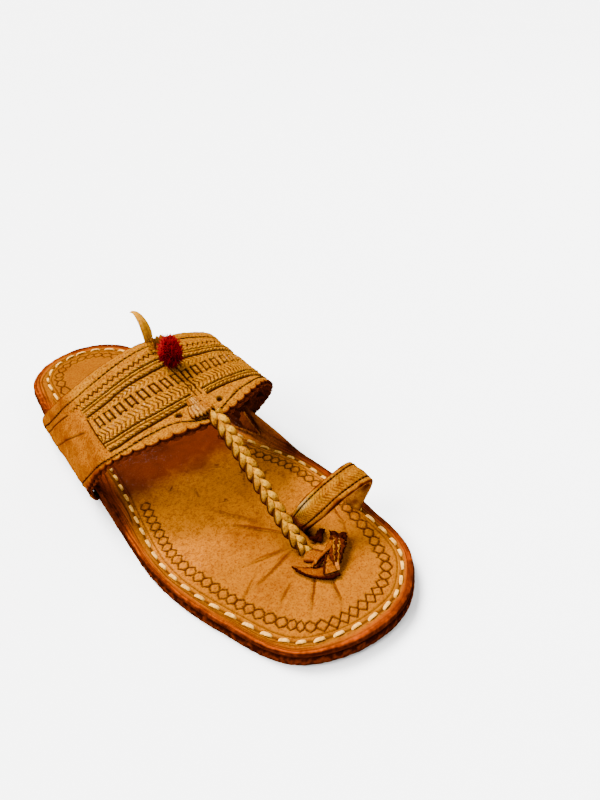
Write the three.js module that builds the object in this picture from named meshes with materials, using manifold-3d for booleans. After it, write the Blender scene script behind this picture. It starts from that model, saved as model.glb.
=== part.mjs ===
import * as THREE from 'three';
import { mergeVertices } from 'three/addons/utils/BufferGeometryUtils.js';
import Module from 'manifold-3d';

const wasm = await Module();
wasm.setup();

// A kolhapuri sandal for the right foot.
// Millimetres. X runs to the wearer's outer side, Y from heel to toe, Z up.

// Sole
const LENGTH = 280;
const BALL_WIDTH = 97;
const OUTSOLE_THICK = 4.2;
const INSOLE_THICK = 3.0;
const LIFT_HEIGHT = 4.0;
const LIFT_FRONT = 72;
const LIFT_INSET = 0.9;
const WAIST_REAR = 74;
const WAIST_FRONT = 116;
const TOE_SPRING = 1.5;
const TOE_SPRING_START = 250;
const INSOLE_INSET = 0.5;
const STITCH_MARGIN = 10;

// Fit
const CLEARANCE = 0.3;

// Ears of the insole
const EAR_HEIGHT = 15;
const EAR_FLARE = 1.2;
const EAR_RIM_THICK = 1.8;

// Instep band
const BAND_WALL = 2.2;
const BAND_HEIGHT = 68;
const BAND_COLUMNS = 52;
const BAND_CENTRE = 0.52;
const PANEL_HALF = 0.225;
const RIDGE_HEIGHT = 0.6;
const LADDER_DEPTH = 0.4;
const SCALLOPS = 40;
const SCALLOP_DEPTH = 1.7;
const HOLE_RADIUS = 1.6;

// Braid
const BRAID_WIDTH = 9.4;
const BRAID_THICK = 4.8;
const BRAID_PITCH = 5.7;
const BRAID_NOTCH = 0.85;

// Toe loop
const LOOP_WALL = 2.3;
const LOOP_HEIGHT = 34;
const LOOP_SPAN = 30;
const LOOP_WIDTH = 11.8;
const LOOP_CREST = 0.35;
const FOOT_DEPTH = 2.4;
const SLOT_CLEARANCE = 0.4;

// Trim
const PATCH_THICK = 1.2;
const ROSETTE_RADIUS = 5.2;
const ROSETTE_THICK = 1.3;
const ROSETTE_TEETH = 12;
const CUP_RADIUS = 3.8;
const CUP_HEIGHT = 5.4;
const CUP_WALL = 1.0;
const POMPOM_RADIUS = 6.0;
const POMPOM_LENGTH = 13.6;
const LOCK_COUNT = 34;
const LOCK_RADIUS = 1.5;
const LOCK_REACH = 1.3;
const STALK_RADIUS = 1.9;
const LEAF_LENGTH = 24;
const LEAF_WIDTH = 5.4;
const LEAF_THICK = 1.3;
const KNOT_SPAN = 26;
const THONG_WIDTH = 7.4;
const THONG_THICK = 2.8;

// Closed outline of the sole, heel point first, round by the outer side to the toe and back.
// along: share of LENGTH. across: share of BALL_WIDTH. margin: share of STITCH_MARGIN.
// ear: share of EAR_HEIGHT.
const OUTLINE = [
  { along: 0.000, across: 0.034, margin: 0.80, ear: 0 },
  { along: 0.019, across: 0.224, margin: 0.85, ear: 0 },
  { along: 0.068, across: 0.355, margin: 0.95, ear: 0 },
  { along: 0.150, across: 0.401, margin: 1.00, ear: 0 },
  { along: 0.275, across: 0.423, margin: 1.10, ear: 0.75 },
  { along: 0.394, across: 0.428, margin: 1.20, ear: 1.00 },
  { along: 0.523, across: 0.443, margin: 1.00, ear: 0.60 },
  { along: 0.610, across: 0.457, margin: 0.75, ear: 0 },
  { along: 0.703, across: 0.460, margin: 0.52, ear: 0 },
  { along: 0.842, across: 0.372, margin: 0.50, ear: 0 },
  { along: 0.963, across: 0.201, margin: 0.55, ear: 0 },
  { along: 0.998, across: -0.007, margin: 0.60, ear: 0 },
  { along: 0.996, across: -0.282, margin: 0.55, ear: 0 },
  { along: 0.947, across: -0.460, margin: 0.52, ear: 0 },
  { along: 0.812, across: -0.537, margin: 0.55, ear: 0 },
  { along: 0.660, across: -0.537, margin: 0.65, ear: 0 },
  { along: 0.534, across: -0.443, margin: 0.80, ear: 0.95 },
  { along: 0.388, across: -0.397, margin: 0.75, ear: 1.00 },
  { along: 0.250, across: -0.369, margin: 0.70, ear: 0.70 },
  { along: 0.134, across: -0.348, margin: 0.65, ear: 0 },
  { along: 0.064, across: -0.278, margin: 0.70, ear: 0 },
  { along: 0.017, across: -0.147, margin: 0.75, ear: 0 },
];

// Edges of the instep band, outer foot to inner foot.
// x: share of BALL_WIDTH. y: share of LENGTH. z: share of BAND_HEIGHT.
const BAND_REAR = [
  { at: 0.00, x: 0.445, y: 0.202, z: 0.029 },
  { at: 0.14, x: 0.464, y: 0.275, z: 0.338 },
  { at: 0.30, x: 0.361, y: 0.393, z: 0.765 },
  { at: 0.50, x: -0.026, y: 0.427, z: 1.000 },
  { at: 0.70, x: -0.474, y: 0.400, z: 0.765 },
  { at: 0.86, x: -0.515, y: 0.321, z: 0.368 },
  { at: 1.00, x: -0.393, y: 0.232, z: 0.029 },
];
const BAND_FRONT = [
  { at: 0.00, x: 0.465, y: 0.461, z: 0.029 },
  { at: 0.14, x: 0.490, y: 0.512, z: 0.294 },
  { at: 0.30, x: 0.381, y: 0.577, z: 0.640 },
  { at: 0.50, x: -0.062, y: 0.638, z: 0.780 },
  { at: 0.70, x: -0.454, y: 0.590, z: 0.713 },
  { at: 0.86, x: -0.552, y: 0.550, z: 0.441 },
  { at: 1.00, x: -0.454, y: 0.489, z: 0.029 },
];

// Rows of the band from its rear edge to its front edge.
// middle: share of the band's width at the centre. end: the same at the panel's ends.
// raise: share of RIDGE_HEIGHT.
const BAND_ROWS = [
  { middle: 0.000, end: 0.000, raise: 0 },
  { middle: 0.120, end: 0.160, raise: 0 },
  { middle: 0.255, end: 0.320, raise: 0 },
  { middle: 0.268, end: 0.333, raise: 1 },
  { middle: 0.315, end: 0.393, raise: 1 },
  { middle: 0.328, end: 0.406, raise: 0 },
  { middle: 0.430, end: 0.490, raise: 0 },
  { middle: 0.440, end: 0.500, raise: -0.6 },
  { middle: 0.540, end: 0.600, raise: -0.6 },
  { middle: 0.550, end: 0.610, raise: 0 },
  { middle: 0.665, end: 0.765, raise: 0 },
  { middle: 0.678, end: 0.778, raise: 1 },
  { middle: 0.742, end: 0.855, raise: 1 },
  { middle: 0.755, end: 0.868, raise: 0 },
  { middle: 0.950, end: 0.950, raise: 0 },
];

// Outer foot of the toe loop. x: share of BALL_WIDTH. y: share of LENGTH.
const LOOP_FOOT = { x: -0.195, y: 0.758 };

// Edges of the toe loop, outer foot to inner foot. x: share of LOOP_SPAN from the outer foot inward.
// y: share of LOOP_WIDTH ahead of the outer foot. z: share of LOOP_HEIGHT.
const LOOP_REAR = [
  { at: 0.00, x: 0.00, y: 0.00, z: 0.24 },
  { at: 0.25, x: 0.12, y: 0.60, z: 0.68 },
  { at: 0.50, x: 0.51, y: 1.00, z: 0.98 },
  { at: 0.75, x: 0.97, y: 0.88, z: 0.91 },
  { at: 1.00, x: 0.90, y: 0.44, z: 0.24 },
];
const LOOP_FRONT = [
  { at: 0.00, x: 0.00, y: 1.00, z: 0.24 },
  { at: 0.25, x: 0.15, y: 1.64, z: 0.59 },
  { at: 0.50, x: 0.50, y: 2.03, z: 0.88 },
  { at: 0.75, x: 1.05, y: 1.92, z: 0.79 },
  { at: 1.00, x: 0.94, y: 1.56, z: 0.24 },
];

// Middle line of the braid, from the band's front margin down into the toe slot.
// x: share of BALL_WIDTH. y: share of LENGTH. z: share of BAND_HEIGHT.
// size: share of BRAID_WIDTH and BRAID_THICK.
const BRAID_PATH = [
  { x: -0.082, y: 0.630, z: 0.804, size: 0.84 },
  { x: -0.086, y: 0.648, z: 0.763, size: 0.92 },
  { x: -0.089, y: 0.671, z: 0.691, size: 1.00 },
  { x: -0.095, y: 0.732, z: 0.491, size: 1.00 },
  { x: -0.101, y: 0.789, z: 0.288, size: 0.98 },
  { x: -0.111, y: 0.821, z: 0.171, size: 0.90 },
  { x: -0.122, y: 0.832, z: 0.118, size: 0.80 },
  { x: -0.127, y: 0.836, z: 0.075, size: 0.66 },
];

// Fans over the braid's root. u and w: places on the band. half: mm from the fan's middle line.
const PATCH_MIDDLE = 0.5;
const PATCH_REAR = [
  { w: 0.772, half: 2.4 },
  { w: 0.790, half: 3.0 },
  { w: 0.812, half: 3.4 },
];
const PATCH_FRONT = [
  { w: 0.820, half: 3.2 },
  { w: 0.850, half: 4.3 },
  { w: 0.880, half: 4.9 },
  { w: 0.903, half: 5.1 },
];
const PATCH_TEETH = 6;
const PATCH_TOOTH = 1.3;

// Where the rosette, the pompom's stalk and the leaf sit on the band.
const ROSETTE_U = 0.528;
const ROSETTE_W = 0.13;
const STALK_U = 0.532;
const STALK_W = 0.262;
const LEAF_U = 0.528;

// The middle of the pompom seen from the stalk's place on the band, in shares of POMPOM_LENGTH.
const POMPOM_LEAN = [0.075, 0.377, 0.555];

// Middle line of the leaf from the band's rear edge to its tip.
// x, y, z: shares of LEAF_LENGTH. wide: share of LEAF_WIDTH.
const LEAF_PATH = [
  { x: 0.020, y: 0.035, z: 0.045, wide: 0.90 },
  { x: 0.025, y: 0.060, z: 0.210, wide: 1.00 },
  { x: 0.030, y: -0.005, z: 0.400, wide: 0.90 },
  { x: 0.030, y: -0.255, z: 0.545, wide: 0.62 },
  { x: 0.030, y: -0.480, z: 0.490, wide: 0.34 },
  { x: 0.030, y: -0.620, z: 0.390, wide: 0.14 },
];

// Middle of the toe knot. x: share of BALL_WIDTH. y: share of LENGTH.
const KNOT_MIDDLE = { x: -0.145, y: 0.870 };

// Middle lines of the two thongs of the toe knot. x, y: shares of KNOT_SPAN from its middle.
// z: share of THONG_THICK above the insole. wide, deep: shares of the thong's sizes.
const KNOT_FLAP = [
  { x: 0.43, y: -0.28, z: 0.57, wide: 0.22, deep: 0.45 },
  { x: 0.23, y: -0.07, z: 0.79, wide: 0.78, deep: 0.95 },
  { x: -0.02, y: 0.08, z: 0.93, wide: 1.12, deep: 1.20 },
  { x: -0.29, y: 0.03, z: 0.86, wide: 0.85, deep: 1.00 },
  { x: -0.53, y: -0.15, z: 0.57, wide: 0.30, deep: 0.50 },
];
const KNOT_FOLD = [
  { x: -0.34, y: -0.32, z: 0.64, wide: 0.62, deep: 0.80 },
  { x: -0.33, y: -0.19, z: 1.57, wide: 0.66, deep: 0.95 },
  { x: -0.18, y: 0.00, z: 1.89, wide: 0.72, deep: 1.00 },
  { x: -0.07, y: 0.19, z: 1.11, wide: 0.60, deep: 0.85 },
  { x: -0.05, y: 0.30, z: 0.57, wide: 0.42, deep: 0.60 },
];

// Small functions
const mix = (a, b, t) => a + (b - a) * t;
const clamp = (v, lo, hi) => Math.min(hi, Math.max(lo, v));
const ease = (a, b, v) => {
  const t = clamp((v - a) / (b - a), 0, 1);
  return t * t * (3 - 2 * t);
};

// A smooth curve through rows of numbers, with knots that need not be even.
function through(knots, rows, period = 0) {
  const n = rows.length;
  const row = (i) => rows[(i + n) % n];
  const knot = (i) => {
    if (!period) return knots[i];
    return knots[(i + n) % n] + period * Math.floor(i / n);
  };
  const slope = (i, c) => {
    if (!period && i === 0) return (rows[1][c] - rows[0][c]) / (knots[1] - knots[0]);
    if (!period && i === n - 1) {
      return (rows[n - 1][c] - rows[n - 2][c]) / (knots[n - 1] - knots[n - 2]);
    }
    const back = knot(i) - knot(i - 1);
    const ahead = knot(i + 1) - knot(i);
    const a = (row(i)[c] - row(i - 1)[c]) / back;
    const b = (row(i + 1)[c] - row(i)[c]) / ahead;
    return (a * ahead + b * back) / (back + ahead);
  };
  return (u) => {
    let k = 0;
    const last = period ? n - 1 : n - 2;
    while (k < last && knot(k + 1) <= u) k += 1;
    const span = knot(k + 1) - knot(k);
    const t = (u - knot(k)) / span;
    const t2 = t * t;
    const t3 = t2 * t;
    return row(k).map((value, c) =>
      value * (2 * t3 - 3 * t2 + 1) +
      slope(k, c) * span * (t3 - 2 * t2 + t) +
      row(k + 1)[c] * (3 * t2 - 2 * t3) +
      slope(k + 1, c) * span * (t3 - t2));
  };
}

// A list of corners and triangles that becomes one closed solid.
class Skin {
  constructor() {
    this.points = [];
    this.faces = [];
  }
  point(p) {
    this.points.push(p[0], p[1], p[2]);
    return this.points.length / 3 - 1;
  }
  row(list) {
    return list.map((p) => this.point(p));
  }
  face(a, b, c) {
    if (a !== b && b !== c && c !== a) this.faces.push(a, b, c);
  }
  // Joins two rows of the same length.
  strip(a, b) {
    for (let i = 0; i + 1 < a.length; i += 1) {
      this.face(a[i], a[i + 1], b[i + 1]);
      this.face(a[i], b[i + 1], b[i]);
    }
  }
  // Joins two rows of unlike length by their shares of the run.
  zip(a, sharesA, b, sharesB) {
    let i = 0;
    let j = 0;
    while (i + 1 < a.length || j + 1 < b.length) {
      const nextA = i + 1 < a.length ? sharesA[i + 1] : Infinity;
      const nextB = j + 1 < b.length ? sharesB[j + 1] : Infinity;
      if (nextA <= nextB) {
        this.face(a[i], a[i + 1], b[j]);
        i += 1;
      } else {
        this.face(a[i], b[j + 1], b[j]);
        j += 1;
      }
    }
  }
  // Closes a ring of corners with a fan from its middle.
  cap(ring, flip = false) {
    const mid = [0, 0, 0];
    ring.forEach((k) => {
      for (let c = 0; c < 3; c += 1) mid[c] += this.points[3 * k + c] / ring.length;
    });
    const m = this.point(mid);
    ring.forEach((k, i) => {
      const next = ring[(i + 1) % ring.length];
      if (flip) this.face(m, next, k);
      else this.face(m, k, next);
    });
  }
  solid() {
    const geometry = new THREE.BufferGeometry();
    geometry.setAttribute('position', new THREE.Float32BufferAttribute(this.points, 3));
    geometry.setIndex(this.faces);
    return toManifold(geometry);
  }
}

function toManifold(source) {
  const geometry = source.clone();
  geometry.deleteAttribute('normal');
  geometry.deleteAttribute('uv');
  const merged = mergeVertices(geometry, 1e-4);
  const vertProperties = new Float32Array(merged.attributes.position.array);
  const triVerts = new Uint32Array(merged.index.array);
  const body = new wasm.Manifold(new wasm.Mesh({ numProp: 3, vertProperties, triVerts }));
  return body;
}

function toGeometry(body) {
  const mesh = body.getMesh();
  const geometry = new THREE.BufferGeometry();
  const positions = new Float32Array(mesh.numVert * 3);
  for (let i = 0; i < mesh.numVert; i += 1) {
    for (let c = 0; c < 3; c += 1) positions[3 * i + c] = mesh.vertProperties[i * mesh.numProp + c];
  }
  geometry.setAttribute('position', new THREE.Float32BufferAttribute(positions, 3));
  geometry.setIndex(Array.from(mesh.triVerts));
  geometry.computeVertexNormals();
  return geometry;
}

// Sole outline and levels
const outlineRows = OUTLINE.map((r) => [
  r.across * BALL_WIDTH, r.along * LENGTH, r.margin * STITCH_MARGIN, r.ear * EAR_HEIGHT,
]);
const outlineKnots = outlineRows.map((r, i) => outlineRows.slice(1, i + 1).reduce(
  (sum, q, k) => sum + Math.hypot(q[0] - outlineRows[k][0], q[1] - outlineRows[k][1]), 0));
const outlineEnd = outlineRows[outlineRows.length - 1];
const outlinePeriod = outlineKnots[outlineKnots.length - 1] +
  Math.hypot(outlineEnd[0] - outlineRows[0][0], outlineEnd[1] - outlineRows[0][1]);
const outlineCurve = through(outlineKnots, outlineRows, outlinePeriod);
const SOLE_STEPS = 4;
const SOLE_COUNT = OUTLINE.length * SOLE_STEPS;
const SOLE_HALF = SOLE_COUNT / 2;

function outlineAt(index) {
  const k = Math.floor(index / SOLE_STEPS) % OUTLINE.length;
  const share = (index % SOLE_STEPS) / SOLE_STEPS;
  const next = k + 1 < OUTLINE.length ? outlineKnots[k + 1] : outlinePeriod;
  const u = mix(outlineKnots[k], next, share);
  const here = outlineCurve(u);
  const step = 0.5;
  const after = outlineCurve((u + step) % outlinePeriod);
  const before = outlineCurve((u - step + outlinePeriod) % outlinePeriod);
  const dx = after[0] - before[0];
  const dy = after[1] - before[1];
  const size = Math.hypot(dx, dy);
  return {
    x: here[0],
    y: here[1],
    margin: here[2],
    ear: Math.max(0, here[3]),
    inX: -dy / size,
    inY: dx / size,
  };
}
const outline = Array.from({ length: SOLE_COUNT }, (_, i) => outlineAt(i));

const soleRise = (y) =>
  (LIFT_HEIGHT + CLEARANCE) * (1 - ease(WAIST_REAR, WAIST_FRONT, y)) +
  TOE_SPRING * ease(TOE_SPRING_START, LENGTH, y);
const insoleBase = (y) => soleRise(y) + OUTSOLE_THICK + CLEARANCE;

function inset(o, distance, z) {
  const x = o.x + o.inX * distance;
  const y = o.y + o.inY * distance;
  return [x, y, z(y)];
}

// Fills the inside of a ring of the sole with rungs from side to side.
function rungs(skin, ring, z, upward) {
  const middle = [];
  for (let i = 1; i < SOLE_HALF; i += 1) {
    const a = ring[i];
    const b = ring[SOLE_COUNT - i];
    const x = (skin.points[3 * a] + skin.points[3 * b]) / 2;
    const y = (skin.points[3 * a + 1] + skin.points[3 * b + 1]) / 2;
    middle.push(skin.point([x, y, z(y)]));
  }
  const outer = ring.slice(0, SOLE_HALF + 1);
  const inner = [ring[0]];
  for (let i = 1; i < SOLE_HALF; i += 1) inner.push(ring[SOLE_COUNT - i]);
  inner.push(ring[SOLE_HALF]);
  const centre = [ring[0], ...middle, ring[SOLE_HALF]];
  if (upward) {
    skin.strip(outer, centre);
    skin.strip(centre, inner);
  } else {
    skin.strip(centre, outer);
    skin.strip(inner, centre);
  }
}

const closed = (ring) => [...ring, ring[0]];

// Outsole
function makeOutsole() {
  const skin = new Skin();
  const low = (y) => soleRise(y);
  const high = (y) => soleRise(y) + OUTSOLE_THICK;
  const under = skin.row(outline.map((o) => inset(o, 0.6, low)));
  const lower = skin.row(outline.map((o) => inset(o, 0, (y) => low(y) + 0.8)));
  const upper = skin.row(outline.map((o) => inset(o, 0, (y) => high(y) - 0.5)));
  const top = skin.row(outline.map((o) => inset(o, 0.4, high)));
  skin.strip(closed(under), closed(lower));
  skin.strip(closed(lower), closed(upper));
  skin.strip(closed(upper), closed(top));
  rungs(skin, top, high, true);
  rungs(skin, under, low, false);
  return skin.solid();
}

// Heel lift
function makeLift() {
  const skin = new Skin();
  const kept = outline.filter((o) => o.y + o.inY * LIFT_INSET < LIFT_FRONT - 3);
  const start = kept.findIndex((o) => o === outline[0]);
  const behind = kept.filter((o) => outline.indexOf(o) > SOLE_HALF);
  const ahead = kept.slice(start).filter((o) => outline.indexOf(o) <= SOLE_HALF);
  const run = [...behind, ...ahead];
  const level = (z) => (extra) => {
    const side = run.map((o) => [
      o.x + o.inX * (LIFT_INSET + extra), o.y + o.inY * (LIFT_INSET + extra), z,
    ]);
    const a = side[side.length - 1];
    const b = side[0];
    const front = LIFT_FRONT - extra;
    const corner = 2.5;
    return [
      ...side,
      [a[0] + 0.2, front - corner, z],
      [a[0] - corner, front, z],
      [mix(a[0], b[0], 0.5), front, z],
      [b[0] + corner, front, z],
      [b[0] - 0.2, front - corner, z],
    ];
  };
  const rows = [
    skin.row(level(0)(0.7)),
    skin.row(level(0.8)(0)),
    skin.row(level(LIFT_HEIGHT - 0.5)(0)),
    skin.row(level(LIFT_HEIGHT)(0.4)),
  ];
  for (let i = 0; i + 1 < rows.length; i += 1) skin.strip(closed(rows[i]), closed(rows[i + 1]));
  skin.cap(rows[rows.length - 1]);
  skin.cap(rows[0], true);
  return skin.solid();
}

// Insole with its two ears
const EAR_STEPS = [1, 0.8, 0.55, 0.28, 0];

// A point of the margin. share: 0 at the stitch line, 1 at the rim. side: 1 top, -1 underside.
function marginPoint(o, share, side) {
  const reach = o.margin - INSOLE_INSET;
  const lift = o.ear;
  const curl = clamp(lift / EAR_HEIGHT, 0, 1);
  const turn = share * Math.PI / 2;
  const out = mix(reach * share, (reach + EAR_FLARE) * Math.sin(turn), curl);
  const up = lift * (1 - Math.cos(turn));
  const slopeOut = mix(reach, (reach + EAR_FLARE) * Math.cos(turn) * Math.PI / 2, curl);
  const slopeUp = lift * Math.sin(turn) * Math.PI / 2;
  const size = Math.hypot(slopeOut, slopeUp);
  const half = mix(INSOLE_THICK, mix(INSOLE_THICK, EAR_RIM_THICK, curl), share) / 2;
  const along = out - side * half * slopeUp / size;
  const height = up + side * half * slopeOut / size;
  const distance = o.margin - along;
  const x = o.x + o.inX * distance;
  const y = o.y + o.inY * distance;
  const flatY = o.y + o.inY * o.margin;
  return [x, y, insoleBase(mix(y, flatY, curl)) + INSOLE_THICK / 2 + height];
}

function makeInsole() {
  const skin = new Skin();
  const top = EAR_STEPS.map((s) => skin.row(outline.map((o) => marginPoint(o, s, 1))));
  const under = EAR_STEPS.map((s) => skin.row(outline.map((o) => marginPoint(o, s, -1))));
  skin.strip(closed(under[0]), closed(top[0]));
  for (let i = 0; i + 1 < EAR_STEPS.length; i += 1) {
    skin.strip(closed(top[i]), closed(top[i + 1]));
    skin.strip(closed(under[i + 1]), closed(under[i]));
  }
  const last = EAR_STEPS.length - 1;
  rungs(skin, top[last], (y) => insoleBase(y) + INSOLE_THICK, true);
  rungs(skin, under[last], insoleBase, false);
  return skin.solid();
}

// Instep band
const bandRow = (r) => [r.x * BALL_WIDTH, r.y * LENGTH, r.z * BAND_HEIGHT];
const bandRear = through(BAND_REAR.map((r) => r.at), BAND_REAR.map(bandRow));
const bandFront = through(BAND_FRONT.map((r) => r.at), BAND_FRONT.map(bandRow));

function ruled(rear, front, u, w) {
  const a = rear(u);
  const b = front(u);
  return new THREE.Vector3(mix(a[0], b[0], w), mix(a[1], b[1], w), mix(a[2], b[2], w));
}

// A point raised off a ruled strap, square to its face.
function raised(rear, front, u, w, height) {
  const step = 0.004;
  const lo = clamp(u - step, 0, 1);
  const hi = clamp(u + step, 0, 1);
  const along = ruled(rear, front, hi, w).sub(ruled(rear, front, lo, w));
  const across = ruled(rear, front, u, 1).sub(ruled(rear, front, u, 0));
  const normal = across.cross(along).normalize();
  return ruled(rear, front, u, w).addScaledVector(normal, height).toArray();
}
const bandPoint = (u, w, height) => raised(bandRear, bandFront, u, w, height);

const panelShare = (u) => Math.abs(u - BAND_CENTRE) / PANEL_HALF;
const rowShare = (r, u) => mix(r.middle, r.end, clamp(panelShare(u), 0, 1.6));

function rowRaise(r, u) {
  const inPanel = 1 - ease(0.97, 1.1, panelShare(u));
  const depth = r.raise < 0 ? LADDER_DEPTH / 0.6 : RIDGE_HEIGHT;
  return r.raise * depth * inPanel;
}

const even = (count) => Array.from({ length: count + 1 }, (_, i) => i / count);

function scallopEdge() {
  const shares = [];
  const depths = [];
  const lobe = [0, 0.62, 0.9, 0.62];
  for (let i = 0; i < SCALLOPS; i += 1) {
    lobe.forEach((h, k) => {
      shares.push((i + k / lobe.length) / SCALLOPS);
      depths.push(h);
    });
  }
  shares.push(1);
  depths.push(0);
  return { shares, depths };
}

function makeBand() {
  const skin = new Skin();
  const columns = even(BAND_COLUMNS);
  const outer = BAND_ROWS.map((r) => skin.row(
    columns.map((u) => bandPoint(u, rowShare(r, u), rowRaise(r, u)))));
  const innerRows = [0, 6, 14];
  const inner = innerRows.map((k) => skin.row(
    columns.map((u) => bandPoint(u, rowShare(BAND_ROWS[k], u), -BAND_WALL))));
  for (let i = 0; i + 1 < outer.length; i += 1) skin.strip(outer[i + 1], outer[i]);
  for (let i = 0; i + 1 < inner.length; i += 1) skin.strip(inner[i], inner[i + 1]);
  skin.strip(outer[0], inner[0]);
  const { shares, depths } = scallopEdge();
  const edgeWidth = (u) => ruled(bandRear, bandFront, u, 1).distanceTo(
    ruled(bandRear, bandFront, u, 0));
  const reach = (u, k) => 1 + (depths[k] - 0.5) * SCALLOP_DEPTH / edgeWidth(u);
  const lip = skin.row(shares.map((u, k) => bandPoint(u, reach(u, k), -0.15)));
  const base = skin.row(shares.map((u, k) => bandPoint(u, reach(u, k), 0.15 - BAND_WALL)));
  skin.zip(lip, shares, outer[outer.length - 1], columns);
  skin.zip(inner[inner.length - 1], columns, base, shares);
  skin.strip(base, lip);
  // The two straight ends at the feet
  const closeEnd = (pick, flip) => {
    const outerRun = [...outer.map(pick), pick(lip)];
    const innerRun = [...inner.map(pick), pick(base)];
    const outerShares = [...BAND_ROWS.map((_, i) => i), BAND_ROWS.length];
    const innerShares = [...innerRows, BAND_ROWS.length];
    if (flip) skin.zip(innerRun, innerShares, outerRun, outerShares);
    else skin.zip(outerRun, outerShares, innerRun, innerShares);
  };
  closeEnd((row) => row[0], true);
  closeEnd((row) => row[row.length - 1], false);
  return skin.solid();
}

// A round pin through the band, used to pierce a hole.
function pin(u, w, radius, length) {
  const at = new THREE.Vector3(...bandPoint(u, w, -BAND_WALL / 2));
  const tip = new THREE.Vector3(...bandPoint(u, w, 10));
  const geometry = new THREE.CylinderGeometry(radius, radius, length, 10);
  const turn = new THREE.Quaternion().setFromUnitVectors(
    new THREE.Vector3(0, 1, 0), tip.sub(at).normalize());
  geometry.applyQuaternion(turn);
  geometry.translate(at.x, at.y, at.z);
  return toManifold(geometry);
}

// Braid
const braidCurve = new THREE.CatmullRomCurve3(
  BRAID_PATH.map((p) => new THREE.Vector3(p.x * BALL_WIDTH, p.y * LENGTH, p.z * BAND_HEIGHT)),
  false, 'centripetal');
const braidEnd = braidCurve.getPoint(1);
const braidSize = through(BRAID_PATH.map((_, i) => i), BRAID_PATH.map((p) => [p.size]));

const lobeShape = (phase) => {
  const f = phase - Math.floor(phase);
  return Math.sqrt(Math.max(0, 1 - (2 * f - 1) ** 2));
};

function makeBraid() {
  const skin = new Skin();
  const around = 12;
  const total = braidCurve.getLength();
  const count = Math.round(total / BRAID_PITCH * 5);
  const rings = [];
  let travelled = 0;
  let last = null;
  for (let i = 0; i <= count; i += 1) {
    const t = i / count;
    const centre = braidCurve.getPoint(t);
    const along = braidCurve.getTangent(t);
    const side = new THREE.Vector3(1, 0, 0);
    side.addScaledVector(along, -side.dot(along)).normalize();
    const up = side.clone().cross(along).normalize();
    if (last) travelled += centre.distanceTo(last);
    last = centre;
    const size = braidSize(t * (BRAID_PATH.length - 1))[0];
    const ring = [];
    for (let k = 0; k < around; k += 1) {
      const angle = k / around * 2 * Math.PI;
      const c = Math.cos(angle);
      const s = Math.sin(angle);
      const shift = (c < 0 ? 0.5 : 0) - 0.35 * (1 - Math.abs(c)) + (s < 0 ? 0.5 : 0);
      const lobe = lobeShape(travelled / BRAID_PITCH + shift);
      const raise = BRAID_NOTCH * (lobe - 0.7);
      const a = size * BRAID_WIDTH / 2 + raise;
      const b = size * BRAID_THICK / 2 + raise * 0.6;
      const p = centre.clone().addScaledVector(side, a * c).addScaledVector(up, b * s);
      ring.push(skin.point(p.toArray()));
    }
    rings.push(ring);
  }
  for (let i = 0; i + 1 < rings.length; i += 1) skin.strip(closed(rings[i + 1]), closed(rings[i]));
  skin.cap(rings[rings.length - 1], true);
  skin.cap(rings[0]);
  return skin.solid();
}

// Toe loop
const loopFootX = LOOP_FOOT.x * BALL_WIDTH;
const loopFootY = LOOP_FOOT.y * LENGTH;
const loopRow = (r) => [
  loopFootX - r.x * LOOP_SPAN, loopFootY + r.y * LOOP_WIDTH, r.z * LOOP_HEIGHT,
];
const loopRear = through(LOOP_REAR.map((r) => r.at), LOOP_REAR.map(loopRow));
const loopFront = through(LOOP_FRONT.map((r) => r.at), LOOP_FRONT.map(loopRow));

function makeLoop() {
  const skin = new Skin();
  const columns = even(20);
  const widths = [0, 0.2, 0.5, 0.8, 1];
  const crest = (w) => LOOP_CREST * 4 * w * (1 - w);
  const sink = (p) => [p[0], p[1], p[2] - FOOT_DEPTH];
  const run = (w, height) => {
    const list = columns.map((u) => raised(loopRear, loopFront, u, w, height));
    return skin.row([sink(list[0]), ...list, sink(list[list.length - 1])]);
  };
  const outer = widths.map((w) => run(w, crest(w)));
  const inner = widths.map((w) => run(w, -LOOP_WALL));
  for (let i = 0; i + 1 < widths.length; i += 1) {
    skin.strip(outer[i + 1], outer[i]);
    skin.strip(inner[i], inner[i + 1]);
  }
  skin.strip(outer[0], inner[0]);
  skin.strip(inner[widths.length - 1], outer[widths.length - 1]);
  skin.strip(inner.map((r) => r[0]), outer.map((r) => r[0]));
  skin.strip(outer.map((r) => r[r.length - 1]), inner.map((r) => r[r.length - 1]));
  return skin.solid();
}

// A bar with square sides between two places in plan.
function bar(from, to, width, low, high) {
  const length = Math.hypot(to[0] - from[0], to[1] - from[1]);
  const geometry = new THREE.BoxGeometry(length, width, high - low);
  geometry.rotateZ(Math.atan2(to[1] - from[1], to[0] - from[0]));
  geometry.translate((from[0] + to[0]) / 2, (from[1] + to[1]) / 2, (low + high) / 2);
  return toManifold(geometry);
}

// The root where the loop's outer foot and the braid's end meet under the insole's face.
const ROOT_FROM = [-0.207 * BALL_WIDTH, 0.782 * LENGTH];
const ROOT_TO = [-0.130 * BALL_WIDTH, 0.839 * LENGTH];
const ROOT_WIDTH = 3.4;
const ROOT_LOW = OUTSOLE_THICK + CLEARANCE + 0.3;
const ROOT_HIGH = 6.1;
const SLOT_LOW = 3;
const SLOT_HIGH = 12;

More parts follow.
